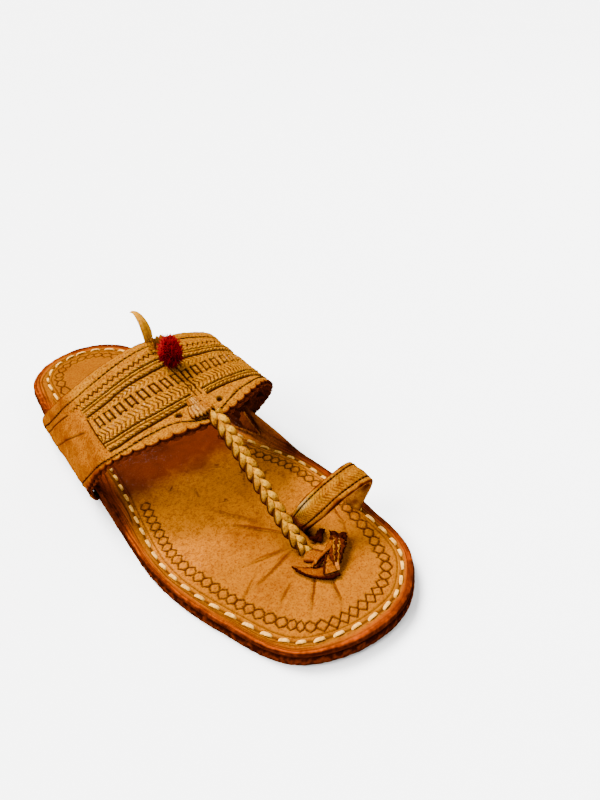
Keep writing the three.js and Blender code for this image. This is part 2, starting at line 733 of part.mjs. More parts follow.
function makeSlots() {
  const grown = 2 * SLOT_CLEARANCE;
  const outerX = loopFootX - LOOP_WALL / 2;
  const outerFoot = bar([outerX, loopFootY - 0.6], [outerX, loopFootY + LOOP_WIDTH + 6.5],
    LOOP_WALL + LOOP_CREST + grown + 0.8, SLOT_LOW, SLOT_HIGH);
  const a = raised(loopRear, loopFront, 1, 0, -LOOP_WALL / 2);
  const b = raised(loopRear, loopFront, 1, 1, -LOOP_WALL / 2);
  const innerFoot = bar([a[0], a[1] - 0.8], [b[0], b[1] + 0.8],
    LOOP_WALL + LOOP_CREST + grown + 0.8, SLOT_LOW, SLOT_HIGH);
  const root = bar([ROOT_FROM[0], ROOT_FROM[1] - 1], [ROOT_TO[0] + 0.5, ROOT_TO[1] + 0.8],
    ROOT_WIDTH + grown, SLOT_LOW, SLOT_HIGH);
  const wide = BRAID_WIDTH * 0.82 + 2 * grown;
  const across = [braidEnd.x - wide / 2, braidEnd.x + wide / 2].map((x) => [x, braidEnd.y - 0.7]);
  const braidFoot = bar(across[0], across[1], BRAID_THICK + 2.6, SLOT_LOW, SLOT_HIGH);
  return outerFoot.add(innerFoot).add(root).add(braidFoot);
}

function makeUpper() {
  const root = bar(ROOT_FROM, ROOT_TO, ROOT_WIDTH, ROOT_LOW, ROOT_HIGH);
  return makeBand()
    .subtract(pin(0.455, 0.835, HOLE_RADIUS, 12))
    .subtract(pin(0.548, 0.870, HOLE_RADIUS, 12))
    .add(makeBraid())
    .add(makeLoop())
    .add(root);
}

// A fan that lies on the band, with teeth along its front edge.
function makePatch(rows, teeth) {
  const skin = new Skin();
  const count = 2 * PATCH_TEETH;
  const widthHere = ruled(bandRear, bandFront, PATCH_MIDDLE, 1).distanceTo(
    ruled(bandRear, bandFront, PATCH_MIDDLE, 0));
  const runHere = ruled(bandRear, bandFront, PATCH_MIDDLE + 0.01, 0.8).distanceTo(
    ruled(bandRear, bandFront, PATCH_MIDDLE - 0.01, 0.8)) / 0.02;
  const line = (r, height, isLast) => skin.row(even(count).map((s, k) => {
    const u = PATCH_MIDDLE + (2 * s - 1) * r.half / runHere;
    const bow = 0.012 * (1 - (2 * s - 1) ** 2);
    const tooth = isLast && teeth ? (k % 2) * PATCH_TOOTH / widthHere : 0;
    return bandPoint(u, r.w + tooth + (isLast && teeth ? bow : 0), height);
  }));
  const top = rows.map((r, i) => line(r, CLEARANCE + PATCH_THICK, i === rows.length - 1));
  const low = rows.map((r, i) => line(r, CLEARANCE, i === rows.length - 1));
  const last = rows.length - 1;
  for (let i = 0; i < last; i += 1) {
    skin.strip(top[i + 1], top[i]);
    skin.strip(low[i], low[i + 1]);
  }
  skin.strip(top[0], low[0]);
  skin.strip(low[last], top[last]);
  skin.strip(low.map((r) => r[0]), top.map((r) => r[0]));
  skin.strip(top.map((r) => r[count]), low.map((r) => r[count]));
  return skin.solid();
}

// A pinked disc with an open pinked cup standing on it.
function makeRosette() {
  const skin = new Skin();
  const base = new THREE.Vector3(...bandPoint(ROSETTE_U, ROSETTE_W, CLEARANCE));
  const up = new THREE.Vector3(...bandPoint(ROSETTE_U, ROSETTE_W, 10)).sub(base).normalize();
  const side = new THREE.Vector3(1, 0, 0).addScaledVector(up, -up.x).normalize();
  const ahead = up.clone().cross(side);
  const count = 2 * ROSETTE_TEETH;
  const ring = (radius, height, tooth, toothHeight) => skin.row(
    Array.from({ length: count }, (_, k) => {
      const angle = k / count * 2 * Math.PI;
      const odd = k % 2;
      const r = radius - odd * tooth;
      const z = height - odd * toothHeight;
      return base.clone()
        .addScaledVector(side, r * Math.cos(angle))
        .addScaledVector(ahead, r * Math.sin(angle))
        .addScaledVector(up, z)
        .toArray();
    }));
  const foot = CUP_RADIUS - 1.1;
  const rings = [
    ring(ROSETTE_RADIUS, 0, 0.9, 0),
    ring(ROSETTE_RADIUS, ROSETTE_THICK, 0.9, 0),
    ring(foot, ROSETTE_THICK, 0, 0),
    ring(CUP_RADIUS, ROSETTE_THICK + CUP_HEIGHT, 0, 1.3),
    ring(CUP_RADIUS - CUP_WALL, ROSETTE_THICK + CUP_HEIGHT, 0, 1.3),
    ring(foot - CUP_WALL, ROSETTE_THICK, 0, 0),
  ];
  for (let i = 0; i + 1 < rings.length; i += 1) skin.strip(closed(rings[i]), closed(rings[i + 1]));
  skin.cap(rings[rings.length - 1]);
  skin.cap(rings[0], true);
  return skin.solid();
}

// A tuft of wool with its locks standing out, on a stalk that goes down to the band.
function makePompom() {
  const centre = new THREE.Vector3(...bandPoint(STALK_U, STALK_W, 0))
    .addScaledVector(new THREE.Vector3(...POMPOM_LEAN), POMPOM_LENGTH);
  const base = new THREE.Vector3(...bandPoint(STALK_U, STALK_W, CLEARANCE + STALK_RADIUS * 0.75));
  const axis = centre.clone().sub(base).normalize();
  const turn = new THREE.Quaternion().setFromUnitVectors(new THREE.Vector3(0, 1, 0), axis);
  const place = (geometry, at) => {
    geometry.applyQuaternion(turn);
    geometry.translate(at.x, at.y, at.z);
    return toManifold(geometry);
  };
  const ball = new THREE.SphereGeometry(POMPOM_RADIUS, 14, 9);
  ball.scale(1, POMPOM_LENGTH / 2 / POMPOM_RADIUS, 1);
  const reach = centre.distanceTo(base);
  const stalk = new THREE.CylinderGeometry(STALK_RADIUS, STALK_RADIUS, reach, 9);
  let body = place(ball, centre).add(place(stalk, base.clone().lerp(centre, 0.5)));
  for (let i = 0; i < LOCK_COUNT; i += 1) {
    const level = 1 - 2 * (i + 0.5) / LOCK_COUNT;
    if (level < -0.4) continue;
    const ringRadius = Math.sqrt(1 - level * level);
    const angle = i * Math.PI * (3 - Math.sqrt(5));
    const way = new THREE.Vector3(ringRadius * Math.cos(angle), level, ringRadius * Math.sin(angle));
    const surface = way.clone().multiply(
      new THREE.Vector3(POMPOM_RADIUS, POMPOM_LENGTH / 2, POMPOM_RADIUS));
    const size = surface.length();
    const lock = new THREE.ConeGeometry(LOCK_RADIUS, size * 0.5 + LOCK_REACH, 5);
    lock.translate(0, (size * 0.5 + LOCK_REACH) / 2 + size * 0.5, 0);
    lock.applyQuaternion(new THREE.Quaternion().setFromUnitVectors(
      new THREE.Vector3(0, 1, 0), surface.normalize()));
    body = body.add(place(lock, centre));
  }
  return body;
}

// A flat thong along a line. place: a row's point in mm. face: the way its flat side looks.
function makeThong(path, place, width, thick, face) {
  const skin = new Skin();
  const curve = new THREE.CatmullRomCurve3(path.map(place), false, 'centripetal');
  const sizes = through(path.map((_, i) => i), path.map((p) => [p.wide, p.deep ?? 1]));
  const count = (path.length - 1) * 4;
  const around = 8;
  const rings = [];
  for (let i = 0; i <= count; i += 1) {
    const t = i / count;
    const centre = curve.getPoint(t);
    const along = curve.getTangent(t);
    const side = face.clone().cross(along).normalize();
    const up = along.clone().cross(side);
    const [wide, deep] = sizes(t * (path.length - 1));
    rings.push(skin.row(Array.from({ length: around }, (_, k) => {
      const angle = (k + 0.5) / around * 2 * Math.PI;
      const c = Math.cos(angle);
      const s = Math.sin(angle);
      const square = (v) => Math.sign(v) * Math.abs(v) ** 0.7;
      return centre.clone()
        .addScaledVector(side, square(c) * wide * width / 2)
        .addScaledVector(up, square(s) * deep * thick / 2)
        .toArray();
    })));
  }
  for (let i = 0; i + 1 < rings.length; i += 1) skin.strip(closed(rings[i]), closed(rings[i + 1]));
  skin.cap(rings[rings.length - 1]);
  skin.cap(rings[0], true);
  return skin.solid();
}

function makeKnot() {
  const face = new THREE.Vector3(0.05, 0, 1);
  const place = (p) => {
    const y = KNOT_MIDDLE.y * LENGTH + p.y * KNOT_SPAN;
    const z = insoleBase(y) + INSOLE_THICK + p.z * THONG_THICK;
    return new THREE.Vector3(KNOT_MIDDLE.x * BALL_WIDTH + p.x * KNOT_SPAN, y, z);
  };
  return makeThong(KNOT_FLAP, place, THONG_WIDTH, THONG_THICK, face)
    .add(makeThong(KNOT_FOLD, place, THONG_WIDTH, THONG_THICK, face));
}

function makeLeaf() {
  const foot = new THREE.Vector3(...bandPoint(LEAF_U, 0, 0));
  const place = (p) => foot.clone().addScaledVector(new THREE.Vector3(p.x, p.y, p.z), LEAF_LENGTH);
  return makeThong(LEAF_PATH, place, LEAF_WIDTH, LEAF_THICK, new THREE.Vector3(0, 1, 0.6));
}

// Materials
const paint = (color, roughness) => new THREE.MeshStandardMaterial({
  color, roughness, metalness: 0,
});
const LOOKS = {
  sole_leather: paint(0x7a3a12, 0.7),
  insole_leather: paint(0xc87a1c, 0.55),
  band_leather: paint(0xc8922c, 0.55),
  trim_leather: paint(0xd9a84a, 0.6),
  thong_leather: paint(0x9a4a14, 0.6),
  wool: paint(0xa00a14, 0.95),
};

const group = new THREE.Group();
group.name = 'kolhapuri_sandal';
function add(name, body, look) {
  const mesh = new THREE.Mesh(toGeometry(body), LOOKS[look]);
  mesh.name = name;
  group.add(mesh);
}

add('outsole', makeOutsole(), 'sole_leather');
add('heel_lift', makeLift(), 'sole_leather');
add('insole', makeInsole().subtract(makeSlots()), 'insole_leather');
add('upper', makeUpper(), 'band_leather');
add('patch_rear', makePatch(PATCH_REAR, false), 'trim_leather');
add('patch_front', makePatch(PATCH_FRONT, true), 'trim_leather');
add('rosette', makeRosette(), 'trim_leather');
add('pompom', makePompom(), 'wool');
add('leaf', makeLeaf(), 'trim_leather');
add('toe_knot', makeKnot(), 'thong_leather');

// The whole sandal is set with its box centred on X and Y and its sole at Z = 0.
const box = new THREE.Box3().setFromObject(group);
const shift = new THREE.Vector3(
  -(box.min.x + box.max.x) / 2, -(box.min.y + box.max.y) / 2, -box.min.z);
group.children.forEach((mesh) => mesh.geometry.translate(shift.x, shift.y, shift.z));

export default group;
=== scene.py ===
import math

import bpy
import numpy as np
from mathutils import Matrix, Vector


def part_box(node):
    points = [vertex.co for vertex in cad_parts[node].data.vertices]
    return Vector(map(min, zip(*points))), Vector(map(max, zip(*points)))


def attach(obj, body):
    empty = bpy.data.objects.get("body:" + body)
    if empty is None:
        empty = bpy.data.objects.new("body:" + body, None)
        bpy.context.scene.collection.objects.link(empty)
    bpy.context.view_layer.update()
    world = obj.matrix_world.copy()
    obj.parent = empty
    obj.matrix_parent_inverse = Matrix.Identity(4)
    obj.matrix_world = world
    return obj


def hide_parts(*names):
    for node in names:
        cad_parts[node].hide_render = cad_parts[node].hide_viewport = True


# A kolhapuri sandal for the right foot: its dressed pieces, the camera and the stage

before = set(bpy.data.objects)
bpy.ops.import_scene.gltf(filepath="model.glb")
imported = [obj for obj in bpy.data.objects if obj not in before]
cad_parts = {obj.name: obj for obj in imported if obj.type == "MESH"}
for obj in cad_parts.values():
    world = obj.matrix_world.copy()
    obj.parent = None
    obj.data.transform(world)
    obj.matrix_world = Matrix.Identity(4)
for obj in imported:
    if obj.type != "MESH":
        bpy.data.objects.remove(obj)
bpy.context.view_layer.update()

# The sandal is worked out in millimetres in its own frame: heel point at Y = 0, X to the outer side.
MM = 0.001

# Sole
LENGTH = 280.0
BALL_WIDTH = 97.0
OUTSOLE_THICK = 4.2
INSOLE_THICK = 3.0
LIFT_HEIGHT = 4.0
LIFT_FRONT = 72.0
LIFT_INSET = 0.9
WAIST_REAR = 74.0
WAIST_FRONT = 116.0
TOE_SPRING = 1.5
TOE_SPRING_START = 250.0
INSOLE_INSET = 0.5
STITCH_MARGIN = 10.0
CLEARANCE = 0.3
EAR_HEIGHT = 15.0
EAR_FLARE = 1.2
EAR_RIM_THICK = 1.8

# Closed outline of the sole from the heel point round by the outer side.
# Columns: share of LENGTH, share of BALL_WIDTH, share of STITCH_MARGIN, share of EAR_HEIGHT.
OUTLINE = [
    (0.000, 0.034, 0.80, 0.00), (0.019, 0.224, 0.85, 0.00), (0.068, 0.355, 0.95, 0.00),
    (0.150, 0.401, 1.00, 0.00), (0.275, 0.423, 1.10, 0.75), (0.394, 0.428, 1.20, 1.00),
    (0.523, 0.443, 1.00, 0.60), (0.610, 0.457, 0.75, 0.00), (0.703, 0.460, 0.52, 0.00),
    (0.842, 0.372, 0.50, 0.00), (0.963, 0.201, 0.55, 0.00), (0.998, -0.007, 0.60, 0.00),
    (0.996, -0.282, 0.55, 0.00), (0.947, -0.460, 0.52, 0.00), (0.812, -0.537, 0.55, 0.00),
    (0.660, -0.537, 0.65, 0.00), (0.534, -0.443, 0.80, 0.95), (0.388, -0.397, 0.75, 1.00),
    (0.250, -0.369, 0.70, 0.70), (0.134, -0.348, 0.65, 0.00), (0.064, -0.278, 0.70, 0.00),
    (0.017, -0.147, 0.75, 0.00),
]

# Instep band. Columns: share of the way over, shares of BALL_WIDTH, LENGTH and BAND_HEIGHT.
BAND_WALL = 2.2
LINING_THICK = 0.8
BAND_HEIGHT = 68.0
BAND_CENTRE = 0.52
SCALLOPS = 40
SCALLOP_DEPTH = 2.1
BAND_REAR = [
    (0.00, 0.445, 0.202, 0.029), (0.14, 0.464, 0.275, 0.338), (0.30, 0.361, 0.393, 0.765),
    (0.50, -0.026, 0.427, 1.000), (0.70, -0.474, 0.400, 0.765), (0.86, -0.515, 0.321, 0.368),
    (1.00, -0.393, 0.232, 0.029),
]
BAND_FRONT = [
    (0.00, 0.465, 0.461, 0.029), (0.14, 0.490, 0.512, 0.294), (0.30, 0.381, 0.577, 0.640),
    (0.50, -0.062, 0.638, 0.780), (0.70, -0.454, 0.590, 0.713), (0.86, -0.552, 0.550, 0.441),
    (1.00, -0.454, 0.489, 0.029),
]

# Toe loop. Columns: share of the way over, share of LOOP_SPAN inward, share of LOOP_WIDTH forward,
# share of LOOP_HEIGHT.
LOOP_WALL = 2.3
LOOP_HEIGHT = 34.0
LOOP_SPAN = 30.0
LOOP_WIDTH = 11.8
LOOP_CREST = 0.35
LOOP_FOOT_X = -0.195 * BALL_WIDTH
LOOP_FOOT_Y = 0.758 * LENGTH
LOOP_REAR = [
    (0.00, 0.00, 0.00, 0.24), (0.25, 0.12, 0.60, 0.68), (0.50, 0.51, 1.00, 0.98),
    (0.75, 0.97, 0.88, 0.91), (1.00, 0.90, 0.44, 0.24),
]
LOOP_FRONT = [
    (0.00, 0.00, 1.00, 0.24), (0.25, 0.15, 1.64, 0.59), (0.50, 0.50, 2.03, 0.88),
    (0.75, 1.05, 1.92, 0.79), (1.00, 0.94, 1.56, 0.24),
]

# Braid. Columns: shares of BALL_WIDTH, LENGTH and BAND_HEIGHT, share of the braid's size.
STRAND_HALF = 1.70
STRAND_SWING = 2.10
STRAND_THICK = 0.85
BRAID_PITCH = 5.7
BRAID_PATH = [
    (-0.082, 0.630, 0.804, 1.05), (-0.086, 0.648, 0.763, 1.05), (-0.089, 0.671, 0.691, 1.00),
    (-0.095, 0.732, 0.491, 1.00), (-0.101, 0.789, 0.288, 0.98), (-0.111, 0.821, 0.171, 0.92),
    (-0.122, 0.832, 0.118, 0.85), (-0.127, 0.836, 0.075, 0.70),
]

# Lines of tooling on the band, the same on both sides of the centre.
# Columns: share of the band from its centre, share of its width from the rear edge.
STITCH_REAR = [
    (0.00, 0.073), (0.06, 0.080), (0.11, 0.094), (0.16, 0.115), (0.21, 0.130), (0.26, 0.132),
    (0.31, 0.145), (0.36, 0.135), (0.40, 0.104), (0.455, 0.060), (0.52, 0.030),
]
STITCH_SECOND = [
    (0.255, 0.236), (0.29, 0.232), (0.335, 0.219), (0.375, 0.207), (0.415, 0.181),
    (0.47, 0.145), (0.52, 0.110),
]
ZIGZAG = [(0.00, 0.165), (0.06, 0.182), (0.135, 0.200), (0.20, 0.222), (0.24, 0.232)]
ROPE_ONE = [(0.00, 0.248), (0.06, 0.252), (0.10, 0.269), (0.16, 0.293), (0.215, 0.312)]
ROPE_TWO = [(0.00, 0.329), (0.06, 0.338), (0.11, 0.358), (0.16, 0.395), (0.215, 0.415)]
LADDER_TOP = [(0.00, 0.440), (0.08, 0.440), (0.135, 0.457), (0.21, 0.478)]
LADDER_END = [(0.00, 0.570), (0.08, 0.568), (0.135, 0.592), (0.21, 0.632)]
ROPE_THREE = [(0.00, 0.700), (0.05, 0.710), (0.09, 0.730), (0.13, 0.752), (0.19, 0.795)]
ROPE_FOUR = [(0.00, 0.762), (0.05, 0.774), (0.09, 0.803), (0.13, 0.834), (0.19, 0.893)]
# The front line is not the same on both sides. Columns: share of the way over, share of width.
STITCH_FRONT = [
    (0.00, 0.880), (0.08, 0.905), (0.16, 0.925), (0.21, 0.946), (0.27, 0.952), (0.306, 0.962),
    (0.34, 0.949), (0.38, 0.912), (0.41, 0.893), (0.43, 0.889), (0.45, 0.906), (0.47, 0.940),
    (0.496, 0.962), (0.53, 0.955), (0.56, 0.929), (0.59, 0.911), (0.64, 0.916), (0.68, 0.925),
    (0.80, 0.920), (1.00, 0.880),
]
# The long crease of the outer side. Columns: share of the way over, share of width.
CREASE = [
    (0.00, 0.304), (0.053, 0.345), (0.107, 0.391), (0.149, 0.427), (0.20, 0.463),
    (0.24, 0.505), (0.283, 0.556),
]
PANEL_END = 0.215
HOLES = [(0.455, 0.835), (0.548, 0.870)]
HOLE_RADIUS = 1.6


def mix(a, b, t):
    return a + (b - a) * t


def ease(a, b, v):
    """0 up to a, 1 from b on, and smooth between them."""
    t = np.clip((v - a) / (b - a), 0.0, 1.0)
    return t * t * (3.0 - 2.0 * t)


def bell(distance, half):
    """1 on a line, falling to nothing about two half widths away."""
    return np.exp(-(distance / half) ** 2)


def stroke(distance, half):
    """1 across a tooled line, with steep sides."""
    return 1 - ease(half * 0.5, half * 1.5, np.abs(distance))


def through(knots, rows, period=0.0):
    """A smooth curve through rows of numbers, with knots that need not be even."""
    knots = np.asarray(knots, float)
    rows = np.asarray(rows, float)
    first = 0
    if period:
        knots = np.concatenate([[knots[-1] - period], knots, [period, period + knots[1]]])
        rows = np.vstack([rows[-1:], rows, rows[:1], rows[1:2]])
        first = 1
    gaps = np.diff(knots)
    slope = np.diff(rows, axis=0) / gaps[:, None]
    tangent = np.empty_like(rows)
    tangent[0] = slope[0]
    tangent[-1] = slope[-1]
    weight = (gaps[:-1] + gaps[1:])[:, None]
    tangent[1:-1] = (slope[:-1] * gaps[1:, None] + slope[1:] * gaps[:-1, None]) / weight
    last = len(knots) - 2 - first

    def curve(u):
        u = np.atleast_1d(np.asarray(u, float))
        if period:
            u = np.mod(u, period)
        k = np.clip(np.searchsorted(knots, u, side="right") - 1, first, last)
        h = gaps[k][:, None]
        t = (u - knots[k])[:, None] / h
        return (rows[k] * (2 * t ** 3 - 3 * t ** 2 + 1) + tangent[k] * h * (t ** 3 - 2 * t ** 2 + t)
                + rows[k + 1] * (3 * t ** 2 - 2 * t ** 3) + tangent[k + 1] * h * (t ** 3 - t ** 2))
    return curve


def through_table(rows):
    """The curve through a table with its knots in the first column."""
    return through([r[0] for r in rows], [r[1:] for r in rows])


def line_through(rows):
    """A function of one number through a table of two columns."""
    curve = through_table(rows)
    low = rows[0][0]
    high = rows[-1][0]

    def line(v):
        return curve(np.clip(v, low, high).ravel())[:, 0].reshape(np.shape(v))
    return line


def normalise(v):
    return v / np.maximum(np.linalg.norm(v, axis=-1, keepdims=True), 1e-9)


def reach_along(points):
    """How far along a line each of its points is."""
    return np.concatenate([[0.0], np.cumsum(np.linalg.norm(np.diff(points, axis=0), axis=1))])


# Meshes

class Build:
    """Corners, faces and named corner values that become one mesh."""

    def __init__(self):
        self.points = []
        self.faces = []
        self.values = {}
        self.count = 0

    def add(self, points, faces, **values):
        """Adds corners and their faces. A value that isn't given is 0 there."""
        points = np.asarray(points, float).reshape(-1, 3)
        n = len(points)
        for name in {**self.values, **values}:
            before = self.values.setdefault(name, [np.zeros(self.count)])
            given = np.asarray(values.get(name, 0.0), float).ravel()
            before.append(np.broadcast_to(given, (n,)))
        self.points.append(points)
        for part in faces:
            self.faces.append(np.asarray(part) + self.count)
        start = self.count
        self.count += n
        return start

    def object(self, name, material, shift=True):
        points = np.vstack(self.points)
        if shift:
            points = points + SHIFT
        mesh = bpy.data.meshes.new(name)
        loops = np.concatenate([f.ravel() for f in self.faces])
        sizes = np.concatenate([np.full(len(f), f.shape[1]) for f in self.faces])
        starts = np.concatenate([[0], np.cumsum(sizes)[:-1]])
        mesh.vertices.add(len(points))
        mesh.vertices.foreach_set("co", (points * MM).astype(np.float32).ravel())
        mesh.loops.add(len(loops))
        mesh.loops.foreach_set("vertex_index", loops.astype(np.int32))
        mesh.polygons.add(len(sizes))
        mesh.polygons.foreach_set("loop_start", starts.astype(np.int32))
        mesh.update(calc_edges=True)
        for key, parts in self.values.items():
            layer = mesh.attributes.new(key, "FLOAT", "POINT")
            layer.data.foreach_set("value", np.concatenate(parts).astype(np.float32))
        mesh.validate()
        mesh.polygons.foreach_set("use_smooth", np.full(len(mesh.polygons), True))
        mesh.materials.append(material)
        piece = bpy.data.objects.new(name, mesh)
        bpy.context.scene.collection.objects.link(piece)
        return piece


def grid_faces(rows, columns, loop=False, flip=False):
    """Quads between the corners of a grid that runs row by row."""
    r = np.arange(rows - 1)[:, None]
    c = np.arange(columns if loop else columns - 1)[None]
    after = (c + 1) % columns
    a = r * columns + c
    b = r * columns + after
    d = (r + 1) * columns + c
    e = (r + 1) * columns + after
    order = [a, d, e, b] if flip else [a, b, e, d]
    return np.stack(order, -1).reshape(-1, 4)


def close_shell(build, rows, columns, outer, inner):
    """Walls round the four edges of a shell, from its outer grid to its inner one."""
    c = np.arange(columns - 1)
    r = np.arange(rows - 1) * columns
    top = (rows - 1) * columns
    end = r + columns - 1
    build.faces.extend([
        np.stack([outer + c, outer + c + 1, inner + c + 1, inner + c], -1),
        np.stack([outer + top + c + 1, outer + top + c, inner + top + c, inner + top + c + 1], -1),
        np.stack([outer + r, inner + r, inner + r + columns, outer + r + columns], -1),
        np.stack([outer + end, outer + end + columns, inner + end + columns, inner + end], -1),
    ])


def fan(ring, middle, flip=False):
    """Triangles from a ring of corners to one in the middle."""
    after = np.roll(ring, -1)
    rim = [after, ring] if flip else [ring, after]
    return np.stack([np.full(len(ring), middle)] + rim, -1)


def tube(build, centres, sides, ups, half_side, half_up, around=10, square=1.0, edge=0.0, crest=0.0,
         line=0.0, **values):
    """A closed tube along a line, with its own width and depth at each step.

    edge: burn value added at its two sides, line: ink value there, crest: how far the rub value keeps to the
    top and the bottom, where it paints highlights.
    """
    angle = (np.arange(around) + 0.5) / around * 2 * math.pi
    c = np.sign(np.cos(angle)) * np.abs(np.cos(angle)) ** square
    s = np.sign(np.sin(angle)) * np.abs(np.sin(angle)) ** square
    half_side = np.broadcast_to(np.asarray(half_side, float), (len(centres),))
    half_up = np.broadcast_to(np.asarray(half_up, float), (len(centres),))
    points = (centres[:, None] + sides[:, None] * (half_side[:, None] * c)[..., None]
              + ups[:, None] * (half_up[:, None] * s)[..., None])
    n = len(centres)
    parts = [grid_faces(n, around, loop=True)]
    points = points.reshape(-1, 3)
    given = {}
    values.setdefault("burn", 0.0)
    for key, value in values.items():
        column = np.asarray(value, float)
        spread = np.broadcast_to(column.reshape(-1, 1) if column.size > 1 else column, (n, around))
        if key == "burn":
            spread = np.clip(spread + edge * np.abs(np.cos(angle)) ** 4, 0, 1)
        if key == "rub":
            spread = spread * (1 - crest) + crest * spread * np.abs(np.sin(angle)) ** 8
        if key == "ink":
            spread = np.clip(spread + line * ease(0.55, 0.85, np.abs(np.cos(angle))), 0, 1)
        given[key] = np.concatenate([spread.ravel(), spread[0, :1], spread[-1, :1]])
    points = np.vstack([points, centres[:1], centres[-1:]])
    parts.append(fan(np.arange(around), n * around, flip=True))
    parts.append(fan(np.arange(around) + (n - 1) * around, n * around + 1))
    build.add(points, parts, **given)


def frame_along(centres, face):
    """Directions across a line in its flat side, and out of it. face: the way the flat side looks."""
    along = normalise(np.gradient(centres, axis=0))
    face = np.broadcast_to(np.asarray(face, float), centres.shape)
    side = normalise(np.cross(along, face))
    return side, normalise(np.cross(side, along))


# Sole outline

ROWS = np.array([(b * BALL_WIDTH, a * LENGTH, c * STITCH_MARGIN, d * EAR_HEIGHT)
                 for a, b, c, d in OUTLINE])
KNOTS = reach_along(ROWS[:, :2])
AROUND = KNOTS[-1] + np.linalg.norm(ROWS[-1, :2] - ROWS[0, :2])
outline_curve = through(KNOTS, ROWS, AROUND)
TOE_KNOT = KNOTS[len(OUTLINE) // 2]
OUTLINE_NUDGE = 0.4


def outline_inward(u):
    """Directions in from the outline of the sole, square to it."""
    along = outline_curve(u + OUTLINE_NUDGE)[:, :2] - outline_curve(u - OUTLINE_NUDGE)[:, :2]
    along = normalise(along)
    return np.stack([-along[:, 1], along[:, 0]], -1)


def outline_points(count):
    """Even steps from heel to toe on the outer side, and as many back on the inner side."""
    half = count // 2
    out = np.linspace(0.0, TOE_KNOT, half, endpoint=False)
    back = np.linspace(TOE_KNOT, AROUND, half, endpoint=False)
    u = np.concatenate([out, back])
    here = outline_curve(u)
    return {"u": u, "xy": here[:, :2], "margin": here[:, 2], "ear": np.maximum(here[:, 3], 0.0),
            "in": outline_inward(u)}


def sole_rise(y):
    """Height of the outsole's underside over the floor: on the lift at the rear, sprung at the toe."""
    return ((LIFT_HEIGHT + CLEARANCE) * (1 - ease(WAIST_REAR, WAIST_FRONT, y))
            + TOE_SPRING * ease(TOE_SPRING_START, LENGTH, y))


def insole_base(y):
    """Height of the insole's underside over the floor."""
    return sole_rise(y) + OUTSOLE_THICK + CLEARANCE


OUTLINE_PROBES = 2000


def frame_shift():
    """From the sandal's own frame to the frame of the pack, in millimetres."""
    here = outline_points(OUTLINE_PROBES)["xy"]
    low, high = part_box("outsole")
    return np.array([
        (low[0] + high[0]) / 2 / MM - (here[:, 0].min() + here[:, 0].max()) / 2,
        (low[1] + high[1]) / 2 / MM - (here[:, 1].min() + here[:, 1].max()) / 2,
        0.0,
    ])


SHIFT = frame_shift()

WAVE_SEED = 7
noise_seed = np.random.default_rng(WAVE_SEED)
WAVE_COUNT = 24


class Waves:
    """Smooth random waves over three directions, the same on each run. size: about one wave in mm."""

    def __init__(self, size):
        self.k = noise_seed.normal(size=(WAVE_COUNT, 3)) * (2 * math.pi / size)
        self.phase = noise_seed.uniform(0, 2 * math.pi, WAVE_COUNT)
        self.gain = math.sqrt(2.0 / WAVE_COUNT)

    def __call__(self, points):
        points = np.asarray(points, float)
        total = np.zeros(points.shape[:-1])
        for k, phase in zip(self.k, self.phase):
            total += np.sin(points @ k + phase)
        return total * self.gain


soft_waves = Waves(38.0)
mid_waves = Waves(11.0)
fine_waves = Waves(4.0)


# Materials

GLOSS_TINT = (1.0, 0.62, 0.28)
COAT_ROUGHNESS = 0.30
WAVER_SCALE = 160.0


